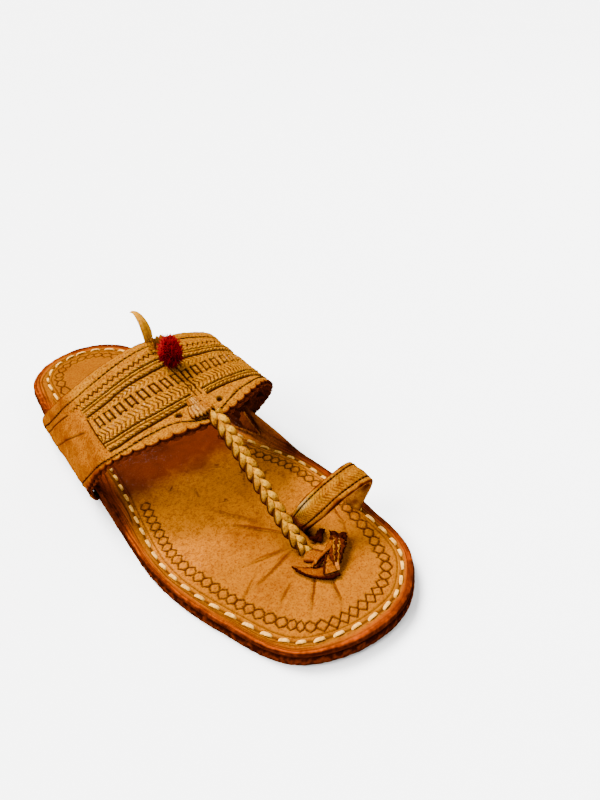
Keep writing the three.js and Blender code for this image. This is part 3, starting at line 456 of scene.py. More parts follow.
class Shader:
    """Short calls for the nodes of one material."""

    def __init__(self, name):
        self.material = bpy.data.materials.new(name)
        self.material.use_nodes = True
        self.tree = self.material.node_tree
        self.tree.nodes.clear()
        self.coords = self.node("ShaderNodeTexCoord").outputs["Object"]
        self.wavy = self.coords

    def node(self, kind, **settings):
        made = self.tree.nodes.new(kind)
        for key, value in settings.items():
            setattr(made, key, value)
        return made

    def link(self, source, target):
        self.tree.links.new(source, target)

    def put(self, socket, value):
        if isinstance(value, bpy.types.NodeSocket):
            self.link(value, socket)
        else:
            socket.default_value = value

    def noise(self, scale, detail=4.0, rough=0.55, distort=0.0):
        made = self.node("ShaderNodeTexNoise")
        made.inputs["Scale"].default_value = scale
        made.inputs["Detail"].default_value = detail
        made.inputs["Roughness"].default_value = rough
        made.inputs["Distortion"].default_value = distort
        self.link(self.coords, made.inputs["Vector"])
        return made.outputs["Fac"]

    def shake(self, amount):
        """The place on the piece, moved a little to and fro so that lines waver."""
        cloud = self.node("ShaderNodeTexNoise")
        cloud.inputs["Scale"].default_value = WAVER_SCALE
        self.link(self.coords, cloud.inputs["Vector"])
        moved = self.node("ShaderNodeVectorMath", operation="MULTIPLY_ADD")
        self.link(cloud.outputs["Color"], moved.inputs[0])
        moved.inputs[1].default_value = (amount * MM * 2, amount * MM * 2, 0.0)
        self.link(self.coords, moved.inputs[2])
        return moved.outputs["Vector"]

    def value(self, name):
        return self.node("ShaderNodeAttribute", attribute_name=name).outputs["Fac"]

    def math(self, operation, a, b):
        made = self.node("ShaderNodeMath", operation=operation)
        self.put(made.inputs[0], a)
        self.put(made.inputs[1], b)
        return made.outputs[0]

    def span(self, value, low, high, to_low=0.0, to_high=1.0):
        made = self.node("ShaderNodeMapRange", clamp=True, interpolation_type="SMOOTHSTEP")
        self.put(made.inputs["Value"], value)
        made.inputs["From Min"].default_value = low
        made.inputs["From Max"].default_value = high
        made.inputs["To Min"].default_value = to_low
        made.inputs["To Max"].default_value = to_high
        return made.outputs["Result"]

    def blend(self, amount, a, b):
        made = self.node("ShaderNodeMix", data_type="RGBA", clamp_factor=True)
        self.put(made.inputs["Factor"], amount)
        colours = [s for s in made.inputs if s.type == "RGBA"]
        for socket, colour in zip(colours, (a, b)):
            if isinstance(colour, tuple):
                socket.default_value = (*colour, 1.0)
            else:
                self.link(colour, socket)
        return [s for s in made.outputs if s.type == "RGBA"][0]

    def spindle(self, x, y, length, angle, width):
        """One at a place on the sole, fading to nothing at the edge of a long thin spot."""
        mapping = self.node("ShaderNodeMapping", vector_type="TEXTURE")
        mapping.inputs["Location"].default_value = ((x + SHIFT[0]) * MM, (y + SHIFT[1]) * MM, 0.0)
        mapping.inputs["Rotation"].default_value = (0.0, 0.0, math.radians(angle))
        mapping.inputs["Scale"].default_value = (length * MM, width * MM, 1.0)
        self.link(self.wavy, mapping.inputs["Vector"])
        spot = self.node("ShaderNodeTexGradient", gradient_type="SPHERICAL")
        self.link(mapping.outputs["Vector"], spot.inputs["Vector"])
        return spot.outputs["Fac"]

    def bump(self, height, distance, strength=1.0, normal=None):
        made = self.node("ShaderNodeBump")
        made.inputs["Distance"].default_value = distance * MM
        made.inputs["Strength"].default_value = strength
        self.link(height, made.inputs["Height"])
        if normal is not None:
            self.link(normal, made.inputs["Normal"])
        return made.outputs["Normal"]

    def finish(self, colour, rough, normal=None, specular=0.0, coat=None):
        shader = self.node("ShaderNodeBsdfPrincipled")
        self.link(colour, shader.inputs["Base Color"])
        self.put(shader.inputs["Roughness"], rough)
        shader.inputs["Specular IOR Level"].default_value = specular
        shader.inputs["Specular Tint"].default_value = (*GLOSS_TINT, 1.0)
        if normal is not None:
            self.link(normal, shader.inputs["Normal"])
        if coat is not None:
            self.link(coat, shader.inputs["Coat Weight"])
            shader.inputs["Coat Roughness"].default_value = COAT_ROUGHNESS
        out = self.node("ShaderNodeOutputMaterial")
        self.link(shader.outputs["BSDF"], out.inputs["Surface"])
        return self.material


# Colours, in linear light
OCHRE = (0.196, 0.058, 0.000)
OCHRE_PALE = (0.270, 0.108, 0.000)
OCHRE_DEEP = (0.095, 0.0200, 0.000)
GOLD = (0.200, 0.061, 0.000)
GOLD_PALE = (0.270, 0.115, 0.000)
GOLD_DEEP = (0.090, 0.0200, 0.000)
TAN = (0.142, 0.0430, 0.000)
TAN_PALE = (0.155, 0.0520, 0.000)
# Paler tan of the rubbed places and of the painted light on the insole's face
TAN_RUB_AND_PAINTED_LIGHT = (0.400, 0.1180, 0.000)
TAN_DEEP = (0.095, 0.0200, 0.000)
RUSSET = (0.195, 0.0240, 0.0005)
RUST = (0.055, 0.0070, 0.000)
# The next three: near-black brown and near-black, also used for painted shade, and whitish wear, also used
# for painted highlights
BURNT = (0.0100, 0.0011, 0.0001)
INK = (0.0085, 0.0003, 0.0001)
WORN_AND_HIGHLIGHT = (0.400, 0.260, 0.090)
LINING_BROWN = (0.022, 0.0030, 0.0002)
SOLE_BROWN = (0.026, 0.0028, 0.0001)
CREAM = (0.520, 0.255, 0.050)
CREAM_DARK = (0.300, 0.125, 0.010)
PATCH_PALE = (0.310, 0.145, 0.022)
BRAID_GOLD = (0.365, 0.127, 0.001)
BRAID_PALE = (0.500, 0.240, 0.010)
LEAF_GOLD = (0.300, 0.120, 0.0)
THONG_BROWN = (0.150, 0.035, 0.0)
LINING_PALE = (0.060, 0.012, 0.001)
SOLE_PALE = (0.075, 0.0120, 0.0003)
PALE_HIDE = (0.200, 0.060, 0.006)
END_PALE = (0.25, 0.11, 0.03)
BLACK_THREAD = (0.0080, 0.0008, 0.0002)
BLACK_DARK = (0.0030, 0.0003, 0.0002)
STUD_BROWN = (0.0060, 0.0030, 0.0008)
STUD_DARK = (0.0018, 0.0003, 0.0001)
RED = (0.125, 0.0001, 0.0018)
RED_BRIGHT = (0.170, 0.0010, 0.0016)
# Maroon of the painted shade in the wool
WOOL_SHADE = (0.0200, 0.0001, 0.0018)

THREAD_ROUGHNESS = 0.7
WOOL_ROUGHNESS = 0.9
WOOL_SPECULAR = 0.02

# Creases of the insole's face near the knot and behind the toe. Columns: x, y, length, angle, depth.
FACE_CREASES = [
    (-3.0, 249.0, 26.0, 46.0, 0.75), (3.0, 231.0, 28.0, 12.0, 0.70), (2.0, 224.0, 22.0, -14.0, 0.60),
    (-3.0, 208.0, 30.0, -52.0, 0.75), (0.0, 195.0, 24.0, -60.0, 0.50), (18.0, 232.0, 16.0, 30.0, 0.45),
    (-36.0, 226.0, 16.0, 78.0, 0.70), (6.0, 170.0, 10.0, 80.0, 0.45), (-18.0, 176.0, 16.0, 60.0, 0.35),
    (-9.0, 256.0, 14.0, 70.0, 0.70), (8.0, 244.0, 12.0, 30.0, 0.55), (-31.0, 238.0, 18.0, 60.0, 0.45),
    (-24.0, 168.0, 5.0, 20.0, 0.8), (-12.0, 160.0, 4.0, -40.0, 0.8), (-19.0, 172.0, 3.0, 70.0, 0.8),
    (-27.0, 181.0, 4.0, 10.0, 0.7), (14.0, 158.0, 3.5, 35.0, 0.8), (-2.0, 183.0, 3.0, -20.0, 0.8),
]
CREASE_WIDTH = 0.75

# Noises of the materials: scale, detail, roughness, distortion
BLOTCH = (30.0, 5.0, 0.6, 0.4)
PATCH = (130.0, 4.0, 0.6, 0.6)
SPECK = (720.0, 3.0, 0.7)
PEPPER = (1500.0, 2.0, 0.6)
WRINKLE = (300.0, 6.0, 0.65, 0.5)
SHEEN = (70.0, 4.0)
FLECK = (1100.0, 2.0, 0.6)
TWIST = (900.0, 3.0, 0.6)
FUZZ = (500.0, 2.0)
CREASE_WAVER = 0.9
PEPPER_DEPTH = 0.18
WRINKLE_DEPTH = 0.45


def leather(name, base, pale, deep, rough=0.55, grain=1.0, speckle=1.0, mottle=1.0, creases=(), gloss=0.5,
            rub_and_light_colour=None):
    """Oiled leather with mottling, pepper and grain.

    Corner values: ink darkens a line and paints shade in hollows, rub lightens a worn place and paints light
    and highlights, burn browns an edge and paints shade, russet reddens.
    creases: dark lines of the insole's face. gloss: strength of the shining flecks in worn places.
    """
    s = Shader(name)
    blotch = s.noise(*BLOTCH)
    patch = s.noise(*PATCH)
    speck = s.noise(*SPECK)
    pepper = s.noise(*PEPPER)
    colour = s.blend(s.span(blotch, 0.40, 0.66, 0.0, 0.70 * mottle), base, deep)
    colour = s.blend(s.span(patch, 0.46, 0.72, 0.0, 0.60 * mottle), colour, pale)
    # The rub value lightens worn places and also paints light and highlights
    colour = s.blend(s.span(s.value("rub"), 0.0, 0.6), colour, rub_and_light_colour or pale)
    colour = s.blend(s.span(speck, 0.44, 0.66, 0.0, 0.80 * speckle), colour, deep)
    colour = s.blend(s.span(pepper, 0.50, 0.64, 0.0, 0.70 * speckle), colour, RUST)
    colour = s.blend(s.span(pepper, 0.50, 0.34, 0.0, 0.30 * speckle), colour, pale)
    colour = s.blend(s.span(s.value("rub"), 0.45, 1.0, 0.0, 0.75), colour, WORN_AND_HIGHLIGHT)
    colour = s.blend(s.value("russet"), colour, RUSSET)
    crease = 0.0
    if creases:
        s.wavy = s.shake(CREASE_WAVER)
    for x, y, length, angle, depth in creases:
        mark = s.spindle(x, y, length / 2, angle, CREASE_WIDTH)
        mark = s.span(mark, 0.0, 0.6, 0.0, depth)
        crease = s.math("MAXIMUM", crease, mark)
    colour = s.blend(crease, colour, RUST)
    # The burn value browns edges and also paints shade
    burn = s.math("ADD", s.value("burn"), s.span(patch, 0.3, 0.7, -0.05, 0.05))
    colour = s.blend(s.span(burn, 0.0, 0.55), colour, RUST)
    colour = s.blend(s.span(burn, 0.45, 1.0), colour, BURNT)
    # The ink value darkens lines and also paints shade in hollows
    colour = s.blend(s.value("ink"), colour, INK)
    wrinkle = s.noise(*WRINKLE)
    normal = s.bump(pepper, PEPPER_DEPTH * grain)
    normal = s.bump(wrinkle, WRINKLE_DEPTH * grain, normal=normal)
    shine = s.span(s.noise(*SHEEN), 0.3, 0.7, rough - 0.12, rough + 0.14)
    fleck = s.span(s.noise(*FLECK), 0.54, 0.66)
    fleck = s.math("MULTIPLY", fleck, s.span(s.value("rub"), 0.15, 0.7, 0.0, gloss))
    return s.finish(colour, shine, normal, coat=fleck)


def thread(name, colour, dark):
    """Twisted thread of two tones."""
    s = Shader(name)
    twist = s.noise(*TWIST)
    tone = s.blend(s.span(twist, 0.35, 0.7), colour, dark)
    return s.finish(tone, THREAD_ROUGHNESS, s.bump(twist, 0.12, 0.6))


def wool(name):
    """Dull red wool, maroon where shade is painted."""
    s = Shader(name)
    tone = s.blend(s.value("burn"), RED, WOOL_SHADE)
    tone = s.blend(s.span(s.noise(*FUZZ), 0.35, 0.75, 0.0, 0.6), tone, RED_BRIGHT)
    return s.finish(tone, WOOL_ROUGHNESS, specular=WOOL_SPECULAR)


MATERIALS = {
    "sole": leather("sole_leather", SOLE_BROWN, SOLE_PALE, BURNT, rough=0.50, grain=1.6),
    "insole": leather("insole_leather", TAN, TAN_PALE, TAN_DEEP, rough=0.45, grain=0.8, speckle=0.75,
                      mottle=0.30, creases=FACE_CREASES, gloss=0.25, rub_and_light_colour=TAN_RUB_AND_PAINTED_LIGHT),
    "band": leather("band_leather", OCHRE, OCHRE_PALE, OCHRE_DEEP, grain=1.3, mottle=0.25),
    "lining": leather("lining_leather", LINING_BROWN, LINING_PALE, INK, rough=0.65, mottle=0.8),
    "loop": leather("loop_leather", GOLD, GOLD_PALE, GOLD_DEEP, rough=0.50, speckle=0.80, mottle=0.8),
    "braid": leather("braid_leather", BRAID_GOLD, BRAID_PALE, GOLD_DEEP, rough=0.50, speckle=0.70,
                     mottle=0.5),
    "patch": leather("patch_leather", OCHRE, PATCH_PALE, OCHRE_DEEP, rough=0.6, grain=0.8, speckle=0.9,
                     mottle=0.5),
    "leaf": leather("leaf_leather", LEAF_GOLD, GOLD_PALE, OCHRE_DEEP, rough=0.6, grain=0.8, speckle=0.5,
                    mottle=0.5),
    "thong": leather("thong_leather", THONG_BROWN, OCHRE_PALE, TAN_DEEP, rough=0.5, grain=1.2, mottle=0.8),
    "end": leather("thong_end", PALE_HIDE, END_PALE, OCHRE, rough=0.7, grain=0.8, speckle=0.6, mottle=0.6),
    "cream": thread("cream_thread", CREAM, CREAM_DARK),
    "black": thread("dark_thread", BLACK_THREAD, BLACK_DARK),
    "stud": thread("dark_stud", STUD_BROWN, STUD_DARK),
    "wool": wool("red_wool"),
}


# Insole: rings from the edge inward, then rungs from side to side

RING_COLUMNS = 1140
EDGE_RINGS = 30
RIM_ROUND = 0.09
RIM_RINGS = 5
UNDER_SHARES = np.array([1.0, 0.96, 0.91, 0.6, 0.3, 0.0])
INNER_STEP = 0.40
INNER_REACH = 10.3
RUNGS = 44
GROOVE_AT = 2.1
CHAIN_HALF = 2.45
# The stamped chain of the margin. Columns: mm round the sole, links so far, mm in from the seam.
CHAIN = [
    (175.6, 0.0, 6.4), (224.1, 9.5, 6.6), (239.7, 12.5, 7.1), (254.9, 15.5, 6.2), (268.2, 18.5, 6.3),
    (285.4, 21.5, 7.4), (309.9, 25.5, 5.4), (326.5, 28.5, 6.5), (338.9, 30.5, 7.2), (347.3, 31.5, 7.0),
    (359.2, 33.5, 6.6), (375.5, 35.5, 7.6), (387.6, 37.5, 6.0), (398.5, 39.5, 4.6), (430.0, 45.0, 5.4),
    (495.0, 58.0, 6.0),
]
# The wider chain of the heel, counted from the heel point both ways.
HEEL_CHAIN = [(-70.0, -7.5, 6.4), (0.0, 0.0, 6.8), (75.0, 8.0, 6.4)]
DIAMOND_START = 303.0
DIAMOND_END = 344.0
DIAMOND_BLEND = 4.0
CHAIN_PITCH = 5.4
HEEL_PITCH = 9.2
CHAIN_LINE = 0.40
chain_curve = through_table(CHAIN)
heel_curve = through_table(HEEL_CHAIN)


def chain_height(u, d):
    """Stamped linked rings that follow the margin. u: mm round the sole, d: mm in from the seam.

    The links are braces, and diamonds between DIAMOND_START and DIAMOND_END.
    """
    from_heel = np.where(u > AROUND / 2, u - AROUND, u)
    at_heel = (from_heel > HEEL_CHAIN[0][0]) & (from_heel < HEEL_CHAIN[-1][0])
    on_run = (u > CHAIN[0][0]) & (u < CHAIN[-1][0])
    fore = chain_curve(np.clip(u, CHAIN[0][0], CHAIN[-1][0]).ravel())
    heel = heel_curve(np.clip(from_heel, HEEL_CHAIN[0][0], HEEL_CHAIN[-1][0]).ravel())
    row = np.where(at_heel.reshape(-1, 1), heel, fore)
    links = row[:, 0].reshape(u.shape)
    centre = row[:, 1].reshape(u.shape)
    half = CHAIN_HALF * np.where(at_heel, 1.1, 1.0)
    pitch = np.where(at_heel, HEEL_PITCH, CHAIN_PITCH)
    across = np.abs(d - centre)
    x = np.mod(links, 1.0) * 2 - 1
    brace = 0.74 * np.clip(1 - np.abs(x) ** 3.0, 0, 1) ** 0.55 + 0.30 * bell(x, 0.26)
    diamond = 1.04 * (1 - np.abs(x)) + 0.08
    pointed = (ease(DIAMOND_START - DIAMOND_BLEND, DIAMOND_START + DIAMOND_BLEND, u)
               * (1 - ease(DIAMOND_END - DIAMOND_BLEND, DIAMOND_END + DIAMOND_BLEND, u)))
    height = half * mix(brace, diamond, pointed)
    slope = half * 2 / pitch * mix(0.4 + 1.6 * np.abs(x) ** 3, 1.04, pointed)
    line = stroke((across - height) / np.sqrt(1 + slope ** 2), CHAIN_LINE)
    cross = stroke((1 - np.abs(x)) * pitch / 2 - across * 0.9, CHAIN_LINE) * bell(across, 1.0)
    line = np.maximum(line, cross * mix(1.0, 0.6, pointed))
    stops = np.where(at_heel | on_run, 1.0, 0.0)
    return line * stops


def insole_marks(u, d, margin):
    """Depth and darkness of the marks on the insole's face."""
    stitch = bell(d, 0.9)
    groove = bell(d - GROOVE_AT, 0.32)
    chain = chain_height(u, d)
    outer_line = bell(d + margin * 0.55, 0.30) * 0.6
    depth = 0.45 * stitch + 0.35 * groove + 0.42 * chain + 0.25 * outer_line
    dark = 0.80 * bell(d, 0.62) + 0.80 * groove + 1.05 * chain + 0.60 * outer_line
    return depth, np.clip(dark, 0, 1)


# Creases of the turned-up margin. Columns: share from the seam to the rim, depth, half width.
EAR_PLEATS = [
    (0.12, 0.8, 0.030), (0.23, 0.9, 0.036), (0.34, 1.0, 0.032), (0.45, 0.8, 0.030), (0.55, 1.0, 0.038),
    (0.65, 0.8, 0.030), (0.74, 1.0, 0.034), (0.84, 0.9, 0.034),
]


def ear_pleats(u, share, ear):
    """Lengthwise creases of the turned-up margin."""
    curl = np.clip(ear / EAR_HEIGHT, 0, 1)
    wander = 0.05 * np.sin(u / 13.0) + 0.03 * np.sin(u / 5.1 + 1.0)
    pleat = np.zeros(np.shape(u + share))
    for at, depth, half in EAR_PLEATS:
        live = 0.62 + 0.38 * np.sin(u / 9.0 + at * 31.0)
        off = share - at - wander * (0.6 + at) - 0.03 * np.sin(u / (4.0 + 6.0 * at) + at * 17.0)
        pleat = np.maximum(pleat, depth * live * bell(off, half))
    return pleat * ease(0.0, 0.15, curl)


# Cracks of the margin. Columns: share from the seam to the rim, swing to each side, mm round the sole
# for the swing.
MARGIN_CRACKS = [
    (0.27, 0.04, 13.0), (0.40, 0.06, 17.0), (0.52, 0.05, 9.0), (0.64, 0.07, 11.0), (0.75, 0.05, 19.0),
    (0.86, 0.05, 23.0), (0.93, 0.03, 14.0),
]


def margin_cracks(u, share):
    """Fine broken cracks that run round the margin, outside the seam."""
    total = np.zeros(u.shape)
    for at, swing, rate in MARGIN_CRACKS:
        path = at + swing * np.sin(u / rate + at * 40.0) + 0.02 * np.sin(u / 3.7 + at * 9.0)
        live = ease(-0.4, 0.7, np.sin(u / (rate * 1.7) + at * 77.0))
        total = np.maximum(total, bell(share - path, 0.038) * live)
    return total


def inset(o, distance):
    """Places in from the outline of the sole, at a grid of distances."""
    return o["xy"][None] + o["in"][None] * distance[..., None]


def margin_grid(o, shares, side):
    """Rows of the margin from the rim (share 1) to the seam (share 0), on top or underneath.

    side: 1 on top, -1 underneath. The places come with the directions out of the middle surface.
    """
    share = shares[:, None]
    reach = (o["margin"] - INSOLE_INSET)[None]
    lift = o["ear"][None]
    curl = np.clip(lift / EAR_HEIGHT, 0, 1)
    turn = share * math.pi / 2
    out = mix(reach * share, (reach + EAR_FLARE) * np.sin(turn), curl)
    up = lift * (1 - np.cos(turn))
    slope_out = mix(reach + 0 * share, (reach + EAR_FLARE) * np.cos(turn) * math.pi / 2, curl)
    slope_up = lift * np.sin(turn) * math.pi / 2
    size = np.hypot(slope_out, slope_up)
    thick = mix(INSOLE_THICK, mix(INSOLE_THICK, EAR_RIM_THICK, curl), share)
    rounding = np.sqrt(np.clip(1 - ((share - 1 + RIM_ROUND) / RIM_ROUND).clip(0, 1) ** 2, 0.05, 1))
    half = thick / 2 * rounding
    along = out - side * half * slope_up / size
    height = up + side * half * slope_out / size
    xy = inset(o, o["margin"][None] - along)
    seam_y = inset(o, o["margin"][None])[..., 1]
    z = insole_base(mix(xy[..., 1], seam_y, curl)) + INSOLE_THICK / 2 + height
    normal = np.dstack([o["in"][None] * slope_up[..., None] / size[..., None], slope_out / size])
    return np.dstack([xy, z]), normal


SLOT_X = LOOP_FOOT_X - LOOP_WALL / 2 + 0.2
SLOT_DROP = 2.2


def slot_depth(points):
    """1 in the toe slot of the insole's face, 0 outside it."""
    x = points[..., 0]
    y = points[..., 1]
    return (1 - ease(1.7, 2.4, np.abs(x - SLOT_X))) * ease(210.5, 211.4, y) * (1 - ease(231, 232, y))


def insole_margin(o, shares):
    """Corners and values of the margin: sewn, cracked, and turned up at both sides of the waist."""
    top, normal = margin_grid(o, shares, 1)
    u = np.broadcast_to(o["u"][None], top.shape[:2])
    share = shares[:, None] + 0 * u
    d = -(o["margin"] - INSOLE_INSET)[None] * share
    ear = np.broadcast_to(o["ear"][None], d.shape)
    curl = np.clip(ear / EAR_HEIGHT, 0, 1)
    flat = 1 - ease(0.02, 0.25, curl)
    medial = ease(AROUND / 2 - 20, AROUND / 2 + 20, u)
    rim = ease(0.90, 1.0, share)
    pleat = ear_pleats(u, share, ear)
    cracks = margin_cracks(u, share) * flat
    inner_side = 0.26 * ease(300.0, 345.0, u) * ease(0.05, 0.5, share)
    # Browned towards the rim, least on the inner ear, which is kept light there as painted light against the
    # band's shade
    streak = 0.5 + 0.35 * fine_waves(top) + 0.25 * mid_waves(top)
    burn = (0.30 * ease(0.30, 1.0, share) * (0.5 + streak) + 0.45 * rim + inner_side
            + curl * mix(0.14, 0.0, medial) * ease(0.0, 0.30, share) - 0.25 * curl * rim
            + pleat * 0.22 + 0.10 * soft_waves(top))
    burn = np.clip(burn * (1 - 0.95 * medial * ease(0.05, 0.5, curl)), 0, 0.85)
    russet = np.clip(1.2 * curl * ease(0.0, 0.4, share) + 0.75 * ease(0.2, 0.9, share) + 2.0 * inner_side,
                     0, 0.9) * (1 - 0.4 * medial * ease(0.1, 0.6, curl))
    # Painted shade, darkest in the hollow between the inner ear and the band
    painted_hollow_shade = medial * ease(0.2, 0.8, curl) * (1 - ease(144, 157, top[..., 1])) * ease(0.1, 0.4, share)
    depth, dark = insole_marks(u, d, o["margin"])
    dark = np.maximum(dark * np.maximum(flat, bell(d, 1.2)), pleat * 0.85)
    # Lighter lines on the inner ear are painted light against the band's shade; the hollow gets painted
    # shade
    dark = np.maximum(dark * (1 - 0.35 * medial * ease(0.05, 0.5, curl)), 1.05 * painted_hollow_shade)
    dark = np.maximum(dark, 0.85 * cracks)
    depth = depth * np.maximum(flat, bell(d, 0.9)) + pleat * 0.95 + 0.35 * cracks
    top = top - normal * depth[..., None]
    top = top + normal * (0.10 * mid_waves(top))[..., None]
    # On the inner ear the rub value is painted light against the band's shade
    return top, {"ink": dark, "burn": burn, "rub": 0.50 * medial * ease(0.1, 0.6, curl), "russet": russet}


def insole_rings(o, distances):
    """Corners and values of the face inside the seam, ring by ring."""
    xy = inset(o, o["margin"][None] + distances[:, None])
    ring = np.dstack([xy, insole_base(xy[..., 1]) + INSOLE_THICK])
    u = np.broadcast_to(o["u"][None], ring.shape[:2])
    depth, dark = insole_marks(u, distances[:, None] + 0 * u, o["margin"])
    burn = np.clip(face_burn_and_shade(ring), 0, 1)
    ring[..., 2] -= depth
    ring[..., 2] += face_relief(ring)
    dark = np.maximum(dark, face_creases(ring)[1])
    return ring, {"ink": dark, "burn": burn, "rub": face_rub_and_painted_light(ring), "russet": 0 * dark}


def insole_rungs(ring):
    """Corners of the middle of the face, from the outer half of a ring across to the inner half."""
    half = RING_COLUMNS // 2
    share = (np.arange(1, RUNGS) / RUNGS)[:, None, None]
    middle = ring[1:half][None] * (1 - share) + ring[:half:-1][None] * share
    middle[..., 2] = insole_base(middle[..., 1]) + INSOLE_THICK + face_relief(middle)
    return middle


def insole_joins(last, middle, under):
    """Faces between the last ring, the rungs and the underside, and across the underside.

    last, middle, under: the first corner of the last ring, of the rungs and of the underside.
    """
    n = RING_COLUMNS
    half = n // 2
    outer = last + np.arange(1, half)
    inner = last + np.arange(n - 1, half, -1)
    low_row = middle + np.arange(half - 1)
    high_row = low_row + (RUNGS - 2) * (half - 1)
    joins = [np.stack([outer[:-1], outer[1:], low_row[1:], low_row[:-1]], -1),
             np.stack([high_row[:-1], high_row[1:], inner[1:], inner[:-1]], -1)]
    # Fans at the heel point and the toe point
    columns = middle + np.arange(RUNGS - 1) * (half - 1)
    heel_run = np.concatenate([[outer[0]], columns, [inner[0]]])
    toe_run = np.concatenate([[outer[-1]], columns + half - 2, [inner[-1]]])
    joins.append(np.stack([np.full(RUNGS, last), heel_run[:-1], heel_run[1:]], -1))
    joins.append(np.stack([np.full(RUNGS, last + half), toe_run[1:], toe_run[:-1]], -1))
    # Underside
    rim = np.arange(n)
    after = (rim + 1) % n
    joins.append(np.stack([rim, under + rim, under + after, after], -1))
    seam = under + (len(UNDER_SHARES) - 1) * n
    a = seam + np.arange(0, half)
    b = seam + np.arange(1, half + 1)
    c = seam + (n - np.arange(1, half + 1)) % n
    e = seam + (n - np.arange(0, half)) % n
    joins.append(np.stack([b[1:-1], a[1:-1], e[1:-1], c[1:-1]], -1))
    joins.append(np.array([[b[0], a[0], c[0]], [b[-1], a[-1], e[-1]]]))
    return joins


def make_insole():
    build = Build()
    n = RING_COLUMNS
    o = outline_points(n)
    shares = np.concatenate([1 - RIM_ROUND * (1 - np.cos(np.linspace(0, math.pi / 2, RIM_RINGS))),
                             np.linspace(1 - RIM_ROUND, 0.0, EDGE_RINGS)[1:]])
    margin, looks = insole_margin(o, shares)
    ring, inside = insole_rings(o, np.arange(INNER_STEP, INNER_REACH + 1e-6, INNER_STEP))
    middle = insole_rungs(ring[-1])
    face = np.vstack([margin.reshape(-1, 3), ring.reshape(-1, 3)])
    values = {name: np.concatenate([looks[name].ravel(), inside[name].ravel()]) for name in looks}
    slot = slot_depth(face)
    face[:, 2] -= slot * SLOT_DROP
    # The slot is painted dark: painted shade in the trench
    values["ink"] = np.clip(values["ink"] * 0.92 + slot, 0, 1)
    rows = len(shares) + len(ring)
    build.add(face, [grid_faces(rows, n, loop=True)], **values)
    # The slot is painted dark here too, as painted shade in the trench
    slot = slot_depth(middle)
    middle[..., 2] -= slot * SLOT_DROP
    middle_start = build.add(middle, [grid_faces(RUNGS - 1, n // 2 - 1)],
                             burn=np.clip(face_burn_and_shade(middle), 0, 1), rub=face_rub_and_painted_light(middle),
                             ink=np.clip(slot + 0.92 * face_creases(middle)[1], 0, 1))
    under, _ = margin_grid(o, UNDER_SHARES, -1)
    under_start = build.add(under, [grid_faces(len(UNDER_SHARES), n, loop=True, flip=True)], burn=0.8)
    build.faces.extend(insole_joins((rows - 1) * n, middle_start, under_start))
    return build.object("insole_leather", MATERIALS["insole"])


def turned(points, x, y, angle):
    """Places measured along and across a line through a point of the face."""
    a = math.radians(angle)
    x = points[..., 0] - x
    y = points[..., 1] - y
    return x * math.cos(a) + y * math.sin(a), -x * math.sin(a) + y * math.cos(a)


def face_creases(points):
    """Relief in mm and darkness of the creases."""
    relief = np.zeros(points.shape[:-1])
    dark = np.zeros(points.shape[:-1])
    for x, y, length, angle, depth in FACE_CREASES:
        along, across = turned(points, x, y, angle)
        across = across + 0.03 * along * np.sin(along / 5)
        live = bell(along, length / 2)
        relief = relief - depth * bell(across, 0.8) * live + depth * 0.5 * bell(across - 2.0, 1.4) * live
        dark = np.maximum(dark, 1.1 * depth * bell(across, 0.5) * live)
    return relief, np.clip(dark, 0, 0.7)


def face_relief(points):
    return 0.16 * soft_waves(points) + 0.06 * mid_waves(points) + face_creases(points)[0]


# Brighter places of the face. Columns: x, y, half length, half width, angle, strength.
FACE_RUBS = [
    (-57.0, 246.0, 8.0, 5.0, 60.0, 0.20), (-34.0, 225.0, 12.0, 6.0, 30.0, 0.12),
]
# Strength of the painted light on the insole's face, which brightens it where the band shades it
FACE_PAINTED_LIGHT = 0.37


def face_rub_and_painted_light(points):
    """Brighter places of the face, and painted light from the heel's front, weaker from the ball on, against
    the band's shade.
    """
    total = np.zeros(points.shape[:-1])
    for x, y, half_length, half_width, angle, strength in FACE_RUBS:
        along, across = turned(points, x, y, angle)
        total = total + strength * bell(along, half_length) * bell(across, half_width)
    # Painted light from the heel's front, weaker from the ball on
    painted_light = ease(70, 95, points[..., 1]) * mix(1.0, 0.40, ease(192, 224, points[..., 1]))
    return np.clip(total + FACE_PAINTED_LIGHT * painted_light, 0, 0.45)


def face_burn_and_shade(points):
    """Where the face is darker: painted shade under the band and behind the toe, and in patches."""
    x = points[..., 0]
    y = points[..., 1]
    covered = ease(62, 84, y)
    # Painted shade under the band
    painted_band_shade = covered * (0.47 * (1 - ease(140, 176, y)) + 0.15 * (1 - ease(126, 158, y)))
    patches = 0.12 * ease(0.2, 1.6, soft_waves(points)) + 0.06 * ease(0.4, 1.6, mid_waves(points))
    toe_shade = 0.16 * bell(np.hypot((x + 4) / 14, (y - 214) / 26), 1.0)
    return painted_band_shade + patches + toe_shade


SEAM_START = 3.0
SEAM_END = 4.0
SEAM_PITCH = 8.4
SEAM_LENGTH = 5.4
HEEL_SEAM_PITCH = 12.0
HEEL_SEAM_LENGTH = 8.6
SEAM_HALF_WIDTH = 0.78
SEAM_HALF_DEPTH = 0.36


